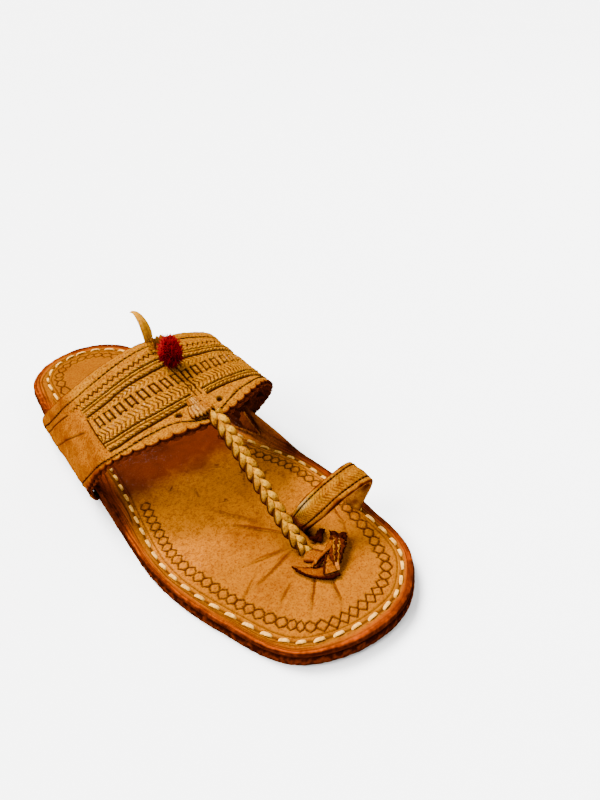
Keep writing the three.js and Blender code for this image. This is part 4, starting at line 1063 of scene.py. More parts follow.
def make_insole_seam():
    """Flat cream stitches along the seam. Longer ones go round the heel."""
    build = Build()
    t = np.linspace(-0.5, 0.5, 7)
    upward = np.tile([0.0, 0.0, 1.0], (len(t), 1))
    u = SEAM_START
    while u < AROUND - SEAM_END:
        heel = 1 - ease(60, 90, outline_curve(u)[0][1])
        length = mix(SEAM_LENGTH, HEEL_SEAM_LENGTH, heel)
        row = outline_curve(u + t * length)
        inward = outline_inward(u + t * length)
        skew = 0.45 * t
        xy = row[:, :2] + inward * (row[:, 2] + skew)[:, None]
        z = insole_base(xy[:, 1]) + INSOLE_THICK + 0.28 - 1.1 * np.abs(t * 2) ** 5
        sides = np.column_stack([inward, np.zeros(len(t))])
        width = SEAM_HALF_WIDTH * (1 - 0.35 * np.abs(t * 2) ** 3)
        tube(build, np.column_stack([xy, z]), sides, upward, width, SEAM_HALF_DEPTH, 8, 0.7)
        u += mix(SEAM_PITCH, HEEL_SEAM_PITCH, heel)
    return build.object("insole_stitches", MATERIALS["cream"])


# Outsole and heel lift

EDGE_COLUMNS = 900
EDGE_LEVELS = np.linspace(0, 1, 9)
LIFT_MIDDLE_Y = 40.0
LIFT_FRONT_STEPS = 40
LIFT_LAYERS = 22.0


def outsole_side(o):
    """Rows of the outsole's edge, rounded and slightly uneven."""
    rounding = 0.55 * (1 - np.sqrt(np.clip(1 - np.abs(EDGE_LEVELS * 2 - 1) ** 4, 0, 1)))
    rows = []
    for level, round_in in zip(EDGE_LEVELS, rounding):
        rough = 0.16 * fine_waves(np.column_stack([o["xy"], np.full(EDGE_COLUMNS, level * 3)]))
        layer = 0.10 * math.sin(level * 31.0)
        xy = o["xy"] + o["in"] * (round_in + rough * 0.5 + layer)[:, None]
        base = sole_rise(xy[:, 1])
        rows.append(np.column_stack([xy, mix(base, base + OUTSOLE_THICK, level)]))
    return np.vstack(rows)


def make_outsole():
    o = outline_points(EDGE_COLUMNS)
    half = EDGE_COLUMNS // 2
    build = Build()
    side = outsole_side(o)
    burn = np.repeat(0.62 + 0.30 * np.abs(EDGE_LEVELS * 2 - 1), EDGE_COLUMNS) + 0.20 * fine_waves(side)
    build.add(side, [grid_faces(len(EDGE_LEVELS), EDGE_COLUMNS, loop=True)], burn=np.clip(burn, 0, 1))
    for start, step in ((0, 1), ((len(EDGE_LEVELS) - 1) * EDGE_COLUMNS, -1)):
        a = start + np.arange(1, half)
        b = start + EDGE_COLUMNS - np.arange(1, half)
        quads = np.stack([a[:-1], b[:-1], b[1:], a[1:]], -1)
        ends = np.array([[start, b[0], a[0]], [start + half, a[-1], b[-1]]])
        build.faces.extend([quads[:, ::step], ends[:, ::step]])
    return build.object("outsole_leather", MATERIALS["sole"])


def make_lift():
    o = outline_points(EDGE_COLUMNS)
    index = np.nonzero(o["xy"][:, 1] < LIFT_FRONT - 3.0)[0]
    split = np.nonzero(np.diff(index) > 1)[0][0]
    order = np.concatenate([index[split + 1:], index[:split + 1]])
    edge = o["xy"][order]
    inward = o["in"][order]
    count = len(edge) + LIFT_FRONT_STEPS
    build = Build()
    rounding = 0.7 * np.abs(EDGE_LEVELS * 2 - 1) ** 4
    t = np.linspace(0, 1, LIFT_FRONT_STEPS)
    for level, round_in in zip(EDGE_LEVELS, rounding):
        rough = 0.22 * fine_waves(np.column_stack([edge, np.full(len(edge), level * 5)]))
        layer = math.sin(level * LIFT_LAYERS)
        run = edge + inward * (LIFT_INSET + round_in + rough + 0.22 * layer)[:, None]
        front_y = LIFT_FRONT - round_in - 2.6 * np.abs(t * 2 - 1) ** 14
        front = np.column_stack([mix(run[-1, 0], run[0, 0], t), front_y])
        z = np.full(count, mix(0.0, LIFT_HEIGHT, level))
        build.add(np.column_stack([np.vstack([run, front]), z]), [],
                  burn=np.clip(0.55 + 0.3 * layer + 0.2 * rough[0], 0, 1))
    build.faces.append(grid_faces(len(EDGE_LEVELS), count, loop=True))
    x = edge[:, 0].mean()
    middle = build.add([[x, LIFT_MIDDLE_Y, 0.0], [x, LIFT_MIDDLE_Y, LIFT_HEIGHT]], [], burn=0.5)
    build.faces.append(fan(np.arange(count), middle, flip=True))
    build.faces.append(fan(np.arange(count) + (len(EDGE_LEVELS) - 1) * count, middle + 1))
    return build.object("heel_lift_leather", MATERIALS["sole"])


# Straps with a ruled face

BAND_RUN = 214.0
STRAP_NUDGE = 0.004


class Strap:
    """The face of a strap, ruled from its rear edge to its front edge."""

    def __init__(self, rear_rows, front_rows):
        self.rear = through_table(rear_rows)
        self.front = through_table(front_rows)

    def __call__(self, u, w):
        """Places and outward directions. u: share of the way over, w: share of the width from the rear."""
        shape = np.shape(u) + (3,)
        u = u.ravel()
        w = w.reshape(-1, 1)
        a = self.rear(u)
        b = self.front(u)
        lo = np.clip(u - STRAP_NUDGE, 0, 1)
        hi = np.clip(u + STRAP_NUDGE, 0, 1)
        along = mix(self.rear(hi), self.front(hi), w) - mix(self.rear(lo), self.front(lo), w)
        normal = normalise(np.cross(b - a, along))
        return (a * (1 - w) + b * w).reshape(shape), normal.reshape(shape)

    def width(self, u):
        return np.linalg.norm(self.front(u) - self.rear(u), axis=1)


def band_rows(rows):
    return [(at, x * BALL_WIDTH, y * LENGTH, z * BAND_HEIGHT) for at, x, y, z in rows]


def loop_rows(rows):
    return [(at, LOOP_FOOT_X - x * LOOP_SPAN, LOOP_FOOT_Y + y * LOOP_WIDTH, z * LOOP_HEIGHT)
            for at, x, y, z in rows]


band_face = Strap(band_rows(BAND_REAR), band_rows(BAND_FRONT))
loop_face = Strap(loop_rows(LOOP_REAR), loop_rows(LOOP_FRONT))


def scallop(u, shift=0.0):
    """Rounded waves, from 0 between two scallops to 1 at the tip of one."""
    phase = np.mod(u * SCALLOPS + shift, 1.0) * 2 - 1
    return np.sqrt(np.clip(1 - np.abs(phase) ** 2.2, 0, 1))


def scalloped(w, reach, start):
    """Shares of the width that end at the reach of the scallops. start: where they begin to follow it."""
    return mix(w + 0 * reach, reach - (1 - w), ease(start, 1.0, w))


def edge_drop(edge, radius):
    """How far a rounded edge falls, as a share of its whole fall. edge: mm from the edge."""
    return 1 - np.sqrt(np.clip(1 - (1 - np.clip(edge / radius, 0, 1)) ** 2, 0, 1))


def lines_of(rows):
    """A line of the band that is the same on both sides of its centre."""
    at = line_through(rows)

    def line(u):
        return at(np.abs(u - BAND_CENTRE))
    return line


BAND_LINES = {
    "stitch_rear": lines_of(STITCH_REAR),
    "stitch_second": lines_of(STITCH_SECOND),
    "zigzag": lines_of(ZIGZAG),
    "rope_one": lines_of(ROPE_ONE),
    "rope_two": lines_of(ROPE_TWO),
    "ladder_top": lines_of(LADDER_TOP),
    "ladder_end": lines_of(LADDER_END),
    "rope_three": lines_of(ROPE_THREE),
    "rope_four": lines_of(ROPE_FOUR),
    "stitch_front": line_through(STITCH_FRONT),
    "crease": line_through(CREASE),
}
LADDER_PITCH = 2.75
LADDER_RUNGS = (0.14, 0.84)
CHEVRON_PITCH = 2.1
CHEVRON_SLANT = 4.4
ROPE_PITCH = 2.2
ROPE_BEHIND = 1.15
ROPE_HALF = 0.85
TOOTH_PITCH = 2.8
CREASE_FADE = (0.272, 0.285)


class Tooling:
    """Relief in mm, darkness, and rub with painted highlights of the marks at places of the band."""

    def __init__(self, u, w, wide, points):
        self.u = u
        self.w = w
        self.wide = wide
        self.points = points
        self.run = (u - BAND_CENTRE) * BAND_RUN
        self.reach = np.abs(self.run)
        self.share = np.abs(u - BAND_CENTRE)
        self.gap = {name: (w - line(u)) * wide for name, line in BAND_LINES.items()}
        self.panel = 1 - ease(PANEL_END - 0.004, PANEL_END, self.share)
        self.height = np.zeros(u.shape)
        self.dark = np.zeros(u.shape)
        self.rub = 0.22 * self.panel

    def cut(self, amount, depth, tone):
        self.height = self.height - depth * amount
        self.dark = np.maximum(self.dark, tone * amount)

    def lift(self, amount):
        self.height = self.height + amount

    # Rub and painted highlight: paler tops of raised marks
    def wear_and_highlight(self, amount):
        self.rub = np.maximum(self.rub, amount)

    def sewn_lines(self):
        self.cut(bell(self.gap["stitch_rear"], 0.50), 0.35, 0.70)
        self.cut(bell(self.gap["stitch_front"], 0.50), 0.35, 0.70)
        self.cut(stroke(self.gap["stitch_second"], 0.50) * ease(0.255, 0.262, self.share), 0.30, 0.95)

    def zigzag(self):
        gap = self.gap["zigzag"]
        tooth = np.abs(np.mod(self.reach / TOOTH_PITCH, 1.0) * 2 - 1)
        off = (gap - (tooth - 0.5) * 2.0) / math.hypot(1.0, 4.0 / TOOTH_PITCH)
        self.cut(stroke(off, 0.40) * (1 - ease(0.235, 0.245, self.share)), 0.35, 1.0)
        self.lift(0.22 * bell(gap - 1.4, 0.9) * self.panel)

    def rope(self, name, span, ridged):
        """A dark line with slanted strands behind it, and a smooth ridge before it if it is ridged."""
        gap = self.gap[name]
        self.cut(stroke(gap, 0.62) * span, 0.50, 1.0)
        behind = gap + ROPE_BEHIND
        strand = np.mod((self.reach + behind * 1.3) / ROPE_PITCH, 1.0)
        rope = bell(behind, ROPE_HALF) * np.sqrt(np.clip(1 - (strand * 2 - 1) ** 2, 0, 1)) * span
        self.lift(0.42 * rope)
        # Rub and painted highlight on the strands' tops
        self.wear_and_highlight(0.62 * rope ** 2)
        split = stroke(np.minimum(strand, 1 - strand) * ROPE_PITCH, 0.36)
        self.cut(bell(behind, ROPE_HALF) * split * span, 0.20, 0.95)
        if ridged:
            ridge = bell(gap - 1.05, 0.62) * span
            self.lift(0.45 * ridge)
            # Rub and painted highlight on the ridge
            self.wear_and_highlight(0.50 * ridge)
            self.cut(stroke(gap - 1.9, 0.34) * span, 0.20, 0.80)

    def fill(self, low, high, span):
        """Padding between the two ropes of a pair."""
        between = ease(0.3, 0.8, self.gap[low]) * (1 - ease(-1.4, -0.6, self.gap[high])) * span
        self.lift(0.30 * between)

    def chevrons(self, low, high):
        """Slanted cuts that meet halfway between two lines."""
        place = self.gap[low] / np.maximum(self.gap[low] - self.gap[high], 0.1)
        in_row = ease(0.06, 0.16, place) * (1 - ease(0.80, 0.92, place)) * self.panel
        slant = np.abs(place - 0.5) * CHEVRON_SLANT
        wave = np.mod((self.run + slant) / CHEVRON_PITCH, 1.0)
        groove = stroke(np.minimum(wave, 1 - wave) * CHEVRON_PITCH, 0.33) * in_row
        worn = 0.55 + 0.45 * np.clip(0.5 + mid_waves(self.points), 0, 1)
        self.cut(groove * worn, 0.30, 1.0)
        # Rub and painted highlight between the cuts
        self.wear_and_highlight(0.42 * bell((wave - 0.5) * CHEVRON_PITCH, 0.4) * in_row)

    def ladder(self):
        """Bars across the panel, with two rungs in every second cell."""
        top = self.gap["ladder_top"]
        total = top - self.gap["ladder_end"]
        place = top / np.maximum(total, 0.1)
        within = ease(-0.01, 0.03, place) * (1 - ease(0.97, 1.01, place))
        within = within * (1 - ease(PANEL_END - 0.014, PANEL_END - 0.010, self.share))
        cell = (self.reach + top * 0.05) / LADDER_PITCH + 0.5
        to_bar = np.minimum(np.mod(cell, 1.0), 1 - np.mod(cell, 1.0)) * LADDER_PITCH
        self.cut(stroke(to_bar, 0.48) * within, 0.60, 1.0)
        odd = np.mod(np.floor(cell), 2.0)
        for at in LADDER_RUNGS:
            self.cut(stroke((place - at) * total, 0.38) * odd * within, 0.42, 1.0)
        off_middle = to_bar - LADDER_PITCH / 2
        self.lift(0.22 * within * bell(off_middle, 0.8))
        self.wear_and_highlight(0.30 * within * odd * bell(off_middle, 0.7))

    def panel_bars(self):
        """Bars at the ends and beside the middle of the panel, with hatching in the middle."""
        live = ease(0.5, 0.9, self.gap["rope_two"]) * (1 - ease(-0.6, -0.2, self.gap["rope_three"] - 3.0))
        self.cut(stroke((self.share - PANEL_END) * BAND_RUN, 0.50) * live, 0.40, 1.0)
        self.cut(stroke((self.share - 0.006) * BAND_RUN, 0.36) * live, 0.35, 0.9)
        hatch = np.mod(self.gap["ladder_top"] / 0.9, 1.0)
        self.cut(bell(self.run, 0.9) * bell(np.minimum(hatch, 1 - hatch), 0.22) * live, 0.15, 0.45)

    def holes(self):
        for at, share_at in HOLES:
            x = (self.u - at) * BAND_RUN
            y = (self.w - share_at) * self.wide
            hole = 1 - ease(HOLE_RADIUS * 0.6, HOLE_RADIUS * 1.25, np.hypot(x, y * 1.1))
            self.cut(hole, 1.4, 1.0)

    def crease(self):
        """The long crease of the outer side."""
        live = 1 - ease(*CREASE_FADE, self.u)
        self.cut(bell(self.gap["crease"], 0.5) * live, 0.45, 0.75)
        self.lift(0.15 * bell(self.gap["crease"] + 1.4, 1.0) * live)


def band_marks(u, w, wide, points):
    """Relief in mm, darkness, and rub with painted highlights of the tooling at places of the band."""
    marks = Tooling(u, w, wide, points)
    front_span = marks.panel * ease(0.012, 0.016, marks.share)
    marks.sewn_lines()
    marks.zigzag()
    marks.rope("rope_one", marks.panel, True)
    marks.rope("rope_two", marks.panel, False)
    marks.rope("rope_three", front_span, True)
    marks.rope("rope_four", front_span, False)
    marks.fill("rope_one", "rope_two", marks.panel)
    marks.fill("rope_three", "rope_four", front_span)
    marks.chevrons("rope_two", "ladder_top")
    marks.chevrons("ladder_end", "rope_three")
    marks.ladder()
    marks.panel_bars()
    marks.holes()
    marks.crease()
    return marks.height, np.clip(marks.dark, 0, 1), np.clip(marks.rub, 0, 1)


BAND_COLUMNS = 560
BAND_GRID_ROWS = 165
BAND_BACK_ROWS = 4


def band_burn_and_shade(point, u, from_rear, from_front):
    """Browning of the band: at its edges, on its flanks and at its feet, with painted shade towards its
    inner side.
    """
    flank = ease(0.20, 0.26, np.abs(u - BAND_CENTRE))
    foot = np.minimum(u, 1 - u)
    burn = 0.80 * bell(np.minimum(from_rear, from_front), 0.6) + flank * (0.27 + 0.03 * mid_waves(point))
    # The term that grows towards the inner side is painted shade
    burn = burn + 0.05 * soft_waves(point) + ease(0.55, 0.95, u) * 0.06 + 0.28 * bell(from_front, 2.4)
    return np.clip(burn + 0.45 * (1 - ease(0.0, 0.05, foot)), 0, 0.85)


def make_band():
    columns = BAND_COLUMNS
    rows = BAND_GRID_ROWS
    # Closer columns on the panel, where the tooling is
    u = np.interp(np.linspace(0, 1, columns), [0.0, 0.13, 0.87, 1.0], [0.0, 0.295, 0.745, 1.0])
    wide = band_face.width(u)[None]
    reach = 1 + (scallop(u)[None] - 0.55) * SCALLOP_DEPTH / wide
    grid_w = scalloped(np.linspace(0, 1, rows)[:, None], reach, 0.93)
    grid_u = np.broadcast_to(u[None], grid_w.shape)
    point, normal = band_face(grid_u, grid_w)
    relief, dark, rub = band_marks(grid_u, grid_w, wide + 0 * grid_w, point)
    wave = 0.22 * soft_waves(point) + 0.07 * mid_waves(point)
    relief = relief + wave + 0.05 * fine_waves(point)
    from_rear = grid_w * wide
    from_front = (reach - grid_w) * wide
    relief = relief - 0.5 * edge_drop(np.minimum(from_rear, from_front), 0.8)
    build = Build()
    build.add(point + normal * relief[..., None], [grid_faces(rows, columns, flip=True)],
              ink=dark * 0.97, rub=rub + 0.08 * ease(0.6, 1.6, soft_waves(point)),
              burn=band_burn_and_shade(point, grid_u, from_rear, from_front))
    back_rows = np.array([0, rows // 3, 2 * rows // 3, rows - 1])
    inner = point[back_rows] - normal[back_rows] * (BAND_WALL - LINING_THICK)
    start = build.add(inner, [grid_faces(BAND_BACK_ROWS, columns)], burn=0.9)
    # Walls along the two edges, then the two feet
    c = np.arange(columns - 1)
    top = (rows - 1) * columns
    low = start + (BAND_BACK_ROWS - 1) * columns
    build.faces.append(np.stack([c, c + 1, start + c + 1, start + c], -1))
    build.faces.append(np.stack([top + c + 1, top + c, low + c, low + c + 1], -1))
    for column, step in ((0, 1), (columns - 1, -1)):
        for k in range(BAND_BACK_ROWS - 1):
            run = [r * columns + column for r in range(back_rows[k], back_rows[k + 1] + 1)]
            back = [start + (k + 1) * columns + column, start + k * columns + column]
            build.faces.append(np.array([run + back])[:, ::step])
    return build.object("band_leather", MATERIALS["band"])


LINING_COLUMNS = 480
LINING_ROWS = 24
LINING_GAP = 0.02
LINING_PEEP = 0.9


def make_lining():
    """A thin dark hide inside the band. Its own scallops peep out between those of the band."""
    u = np.linspace(0, 1, LINING_COLUMNS)
    wide = band_face.width(u)[None]
    reach = 1 + (scallop(u, 0.5)[None] - 0.62) * SCALLOP_DEPTH / wide + LINING_PEEP / wide
    grid_w = scalloped(np.linspace(0.004, 1, LINING_ROWS)[:, None], reach, 0.85)
    point, normal = band_face(np.broadcast_to(u[None], grid_w.shape), grid_w)
    wave = 0.12 * mid_waves(point)
    build = Build()
    build.add(point - normal * (BAND_WALL - LINING_THICK + LINING_GAP),
              [grid_faces(LINING_ROWS, LINING_COLUMNS, flip=True)], burn=0.6)
    start = build.add(point - normal * (BAND_WALL + wave * 0.3)[..., None],
                      [grid_faces(LINING_ROWS, LINING_COLUMNS)],
                      burn=np.clip(0.4 + 0.4 * mid_waves(point), 0, 1))
    close_shell(build, LINING_ROWS, LINING_COLUMNS, 0, start)
    return build.object("band_lining", MATERIALS["lining"])


STITCH_HALF_WIDTH = 0.22
STITCH_HALF_DEPTH = 0.28
STITCH_SLANT = 0.5 / 56.0


def sew(build, face, ends, line, pitch, length, run, lift):
    """Short dark stitches along a line of a strap. ends: share left free at each end."""
    count = int(run / pitch)
    t = np.linspace(-0.5, 0.5, 5)
    for k in range(count):
        u = mix(ends, 1 - ends, (k + 0.5) / count + t * length / run)
        point, normal = face(u, line(u) + STITCH_SLANT * t)
        centres = point + normal * (lift - 0.35 * np.abs(t * 2)[:, None] ** 3)
        side, up = frame_along(centres, normal)
        tube(build, centres, side, up, STITCH_HALF_WIDTH, STITCH_HALF_DEPTH, 6)


def make_band_stitches():
    build = Build()
    for name in ("stitch_rear", "stitch_front"):
        sew(build, band_face, 0.012, BAND_LINES[name], pitch=2.5, length=1.9, run=BAND_RUN, lift=0.02)
    return build.object("band_stitches", MATERIALS["black"])


# Toe loop

LOOP_RUN = 78.0
LOOP_COLUMNS = 150
LOOP_GRID_ROWS = 40
LOOP_SEWN = (0.17, 0.80)
LOOP_PITCH = 2.0
LOOP_SINK = np.array([0.0, 0.0, -2.4])


def loop_marks(u, w, wide, points):
    """Relief in mm, darkness, and rub with painted highlights of the toe loop: two sewn lines, chevrons
    between.
    """
    height = LOOP_CREST * 4 * w * (1 - w)
    dark = np.zeros(w.shape)
    for at in LOOP_SEWN:
        line = stroke((w - at) * wide, 0.42)
        height -= 0.35 * line
        dark = np.maximum(dark, 0.75 * line)
    inside = ease(0.22, 0.26, w) * (1 - ease(0.70, 0.75, w))
    slant = np.abs(w - 0.48) * wide * 0.9
    wave = np.mod((u * LOOP_RUN - slant) / LOOP_PITCH, 1.0)
    groove = stroke(np.minimum(wave, 1 - wave) * LOOP_PITCH, 0.30) * inside
    height -= 0.25 * groove
    dark = np.maximum(dark, 0.72 * groove * np.clip(0.5 + 0.6 * mid_waves(points), 0.1, 1))
    rub = 0.25 * bell((wave - 0.5) * LOOP_PITCH, 0.40) * inside
    return height, dark, np.clip(rub + 0.85 * bell(u - 0.20, 0.13) * bell(w - 0.14, 0.22), 0, 1)


def with_feet(grid, sink=0.0):
    """A grid with one more column at each end, moved by the sink: the feet in the slot."""
    return np.concatenate([grid[:, :1] + sink, grid, grid[:, -1:] + sink], axis=1)


def make_loop():
    u = np.linspace(0, 1, LOOP_COLUMNS)
    grid_w, grid_u = np.meshgrid(np.linspace(0, 1, LOOP_GRID_ROWS), u, indexing="ij")
    point, normal = loop_face(grid_u, grid_w)
    wide = loop_face.width(u)[None]
    height, dark, rub = loop_marks(grid_u, grid_w, wide, point)
    across = grid_w * wide
    edge = np.minimum(across, wide - across)
    height -= 0.7 * edge_drop(edge, 0.9)
    height += 0.08 * mid_waves(point)
    burn = np.clip(0.85 * bell(edge, 0.7) + 0.15 * mid_waves(point)
                   + 0.6 * (1 - ease(0.0, 0.07, grid_u)) + 0.6 * ease(0.93, 1.0, grid_u), 0, 0.9)
    depth = LOOP_WALL * np.sqrt(np.clip(1 - (np.abs(grid_w - 0.5) * 2) ** 12 * 0.3, 0, 1))
    outer = point + normal * height[..., None]
    inner = point - normal * depth[..., None]
    columns = LOOP_COLUMNS + 2
    build = Build()
    build.add(with_feet(outer, LOOP_SINK), [grid_faces(LOOP_GRID_ROWS, columns, flip=True)],
              ink=with_feet(dark * 0.9), rub=with_feet(rub), burn=with_feet(burn))
    inner_burn = np.clip(0.22 + 0.25 * mid_waves(inner), 0, 1) * 0.6
    start = build.add(with_feet(inner, LOOP_SINK), [grid_faces(LOOP_GRID_ROWS, columns)],
                      burn=with_feet(inner_burn), rub=0.55, russet=0.35)
    close_shell(build, LOOP_GRID_ROWS, columns, 0, start)
    return build.object("toe_loop_leather", MATERIALS["loop"])


def level_line(at):
    """A line at one share of a strap's width."""
    def line(u):
        return np.full(np.shape(u), at)
    return line


def make_loop_stitches():
    build = Build()
    for at in LOOP_SEWN:
        sew(build, loop_face, 0.03, level_line(at), pitch=2.4, length=1.6, run=LOOP_RUN, lift=0.2)
    return build.object("toe_loop_stitches", MATERIALS["black"])


# Braid of three flat strands

STRANDS = 3
STRAND_DIVE = 1.05
STRAND_AROUND = 24
BRAID_STEPS = 420
CORE_HALF = 0.9
braid_rows = np.array(BRAID_PATH) * [BALL_WIDTH, LENGTH, BAND_HEIGHT, 1.0]
braid_knots = reach_along(braid_rows[:, :3])
braid_curve = through(braid_knots, braid_rows)


def make_braid():
    """Strands that swing from side to side and dive under each other in turn."""
    build = Build()
    s = np.linspace(0, braid_knots[-1], BRAID_STEPS)
    row = braid_curve(s)
    centre = row[:, :3]
    size = row[:, 3]
    along = normalise(np.gradient(centre, axis=0))
    side0 = normalise(np.cross(along, np.cross(np.tile([1.0, 0, 0], (BRAID_STEPS, 1)), along)))
    up0 = normalise(np.cross(side0, along))
    for k in range(STRANDS):
        phase = 2 * math.pi * (s / (BRAID_PITCH * STRANDS) + k / STRANDS)
        x = STRAND_SWING * np.sin(phase) * size
        z = STRAND_DIVE * np.sin(2 * phase) * size
        path = centre + side0 * x[:, None] + up0 * z[:, None]
        path += up0 * (0.12 * np.sin(s * 1.7 + k * 2))[:, None]
        tangent = normalise(np.gradient(path, axis=0))
        up = normalise(up0 - tangent * np.sum(up0 * tangent, axis=1)[:, None])
        side = normalise(np.cross(tangent, up))
        turn = 0.35 * np.cos(phase)
        side = side * np.cos(turn)[:, None] + up * np.sin(turn)[:, None]
        up = normalise(np.cross(side, tangent))
        high = np.abs(np.cos(phase))
        dive = 0.5 - 0.5 * np.sin(2 * phase)
        # Painted highlight where a strand comes up, painted shade where it dives under the others
        rub = np.clip(0.40 - 0.5 * dive + 0.20 * np.sin(s * 1.3 + k), 0, 1)
        burn = np.clip(0.02 + 0.62 * dive ** 3 + 0.06 * high + 0.08 * np.sin(s * 0.9 + k), 0, 0.95)
        tube(build, path, side, up, STRAND_HALF * size, STRAND_THICK * size, STRAND_AROUND, 0.5,
             edge=0.20, crest=0.7, line=0.90, ink=0.0, rub=rub, burn=burn)
    # A slim core keeps daylight out of the plait; it is coloured near black as painted shade between the
    # strands
    tube(build, centre, side0, up0, STRAND_SWING * 0.8 * size, CORE_HALF * size, 10, burn=1.0, ink=0.6)
    return build.object("braid_leather", MATERIALS["braid"])


# Trims on the band

PATCH_MIDDLE = 0.496
PATCH_TOOTH = 1.3
# Fans over the braid's root. Columns: share of the band's width, mm to each side.
PATCH_REAR = [(0.742, 1.8), (0.772, 2.9), (0.812, 3.4)]
PATCH_FRONT = [(0.815, 3.8), (0.850, 5.0), (0.885, 5.6), (0.915, 5.8)]


# Each patch: its rows, height, whether its end is pinked, middle of its pale part
PATCHES = ((PATCH_REAR, 0.9, False, 0.0), (PATCH_FRONT, 1.3, True, -0.35))
PATCH_COLUMNS = 61
PATCH_ROWS = 30


def make_patches():
    """Ribbed fans. The front one has a pinked end."""
    build = Build()
    wide = float(band_face.width(np.array([PATCH_MIDDLE]))[0])
    s = np.linspace(-1, 1, PATCH_COLUMNS)[None]
    t = np.linspace(0, 1, PATCH_ROWS)[:, None]
    for rows, height, pinked, pale_at in PATCHES:
        half_at = line_through(rows)
        saw = np.abs(np.mod(s * 3.5 + 0.5, 1.0) * 2 - 1)
        end = rows[-1][0] + ((1 - saw) * PATCH_TOOTH if pinked else 0 * saw) / wide
        w = mix(rows[0][0], end + 0.014 * (1 - s ** 2), t)
        u = PATCH_MIDDLE + s * half_at(np.minimum(w, rows[-1][0])) / BAND_RUN
        ribs = np.abs(np.sin(s * 9.5 + 0.4 * t)) ** 0.7
        from_edge = np.minimum(np.minimum(1 - np.abs(s), t * 1.4), (1 - t) * 1.4)
        rise = CLEARANCE + height + 0.35 * ribs
        rise = rise - (height - 0.2) * (1 - ease(0.0, 0.16, from_edge))
        point, normal = band_face(u, w)
        pale = np.clip(bell(s - pale_at, 0.5) * (0.12 + 0.42 * ribs), 0, 1)
        outer = build.add(point + normal * rise[..., None],
                          [grid_faces(PATCH_ROWS, PATCH_COLUMNS, flip=True)],
                          rub=pale, ink=0.5 * (1 - ribs), burn=0.8 * (1 - ease(0.0, 0.10, from_edge)))
        inner = build.add(point + normal * (CLEARANCE - 0.25), [grid_faces(PATCH_ROWS, PATCH_COLUMNS)],
                          burn=0.8)
        close_shell(build, PATCH_ROWS, PATCH_COLUMNS, outer, inner)
    return build.object("root_patches", MATERIALS["patch"])


def thong(build, path, widths, depths, face, steps=40, around=14, edge=0.6, **values):
    """A flat thong through points, with a width and a depth at each."""
    path = np.array(path, float)
    reach = reach_along(path)
    row = through(reach, np.column_stack([path, widths, depths]))(np.linspace(0, reach[-1], steps))
    side, up = frame_along(row[:, :3], face)
    halves = np.maximum(row[:, 3:], 0.05) / 2
    tube(build, row[:, :3], side, up, halves[:, 0], halves[:, 1], around, 0.7, edge, **values)


LEAF_PATH = [
    (-8.3, 120.6, 67.6), (-8.1, 121.0, 72.4), (-7.9, 119.6, 76.6), (-7.9, 114.2, 80.0),
    (-7.9, 108.8, 79.2), (-7.8, 104.6, 77.3),
]
LEAF_WIDTHS = [4.8, 5.2, 4.6, 3.2, 1.7, 0.3]
LEAF_ROWS = 60
LEAF_COLUMNS = 17


def make_leaf():
    """A pointed leaf of hide that stands on the band and bends back."""
    path = np.array(LEAF_PATH)
    reach = reach_along(path)
    row = through(reach, np.column_stack([path, LEAF_WIDTHS]))(np.linspace(0, reach[-1], LEAF_ROWS))
    centre = row[:, :3]
    along = normalise(np.gradient(centre, axis=0))
    twist = np.linspace(0.25, -0.5, LEAF_ROWS)
    side = normalise(np.column_stack([np.cos(twist), np.sin(twist) * 0.6, 0 * twist]))
    side = normalise(side - along * np.sum(side * along, axis=1)[:, None])
    up = np.cross(side, along)
    s = np.linspace(-1, 1, LEAF_COLUMNS)[None]
    tip = np.linspace(0, 1, LEAF_ROWS)[:, None]
    half = np.maximum(row[:, 3], 0.1)[:, None] / 2
    cup = 0.45 * half * (s ** 2 - 0.4) + 0.10 * np.sin(s * 9 + tip * 5)
    thick = 0.45 * np.sqrt(np.clip(1.02 - s ** 2, 0, 1)) * np.minimum(1, half)
    middle = centre[:, None] + side[:, None] * (s * half)[..., None]
    ink = np.clip(0.275 * np.abs(s) ** 3 + 0.75 * ease(0.90, 1.0, tip) + 0.2 * bell(s, 0.15), 0, 1)
    build = Build()
    build.add(middle + up[:, None] * (cup + thick)[..., None], [grid_faces(LEAF_ROWS, LEAF_COLUMNS)],
              ink=ink, rub=0.3 * bell(s - 0.4, 0.4) + 0 * tip)
    back = build.add(middle + up[:, None] * (cup - thick)[..., None],
                     [grid_faces(LEAF_ROWS, LEAF_COLUMNS, flip=True)], ink=ink)
    close_shell(build, LEAF_ROWS, LEAF_COLUMNS, back, 0)
    return build.object("leaf_leather", MATERIALS["leaf"])


ROSETTE_U = 0.528
ROSETTE_W = 0.130
# Rings of petals: count, reach inside and outside, height inside and outside
PETAL_RINGS = ((12, 1.6, 5.0, 0.5, 1.5), (9, 1.0, 3.6, 1.2, 5.2))
PETAL_HALF = 1.25
STUDS = 15
STUD_RADIUS = 0.66
STUD_LIFT = 1.7
STUD_STEPS = 6


def band_frame(u, w):
    """A place of the band's face with its directions: to the side, ahead and up."""
    point, up = band_face(np.array([u]), np.array([w]))
    point = point[0]
    up = up[0]
    side = normalise(np.array([1.0, 0.0, 0.0]) - up * up[0])
    return point, side, np.cross(up, side), up


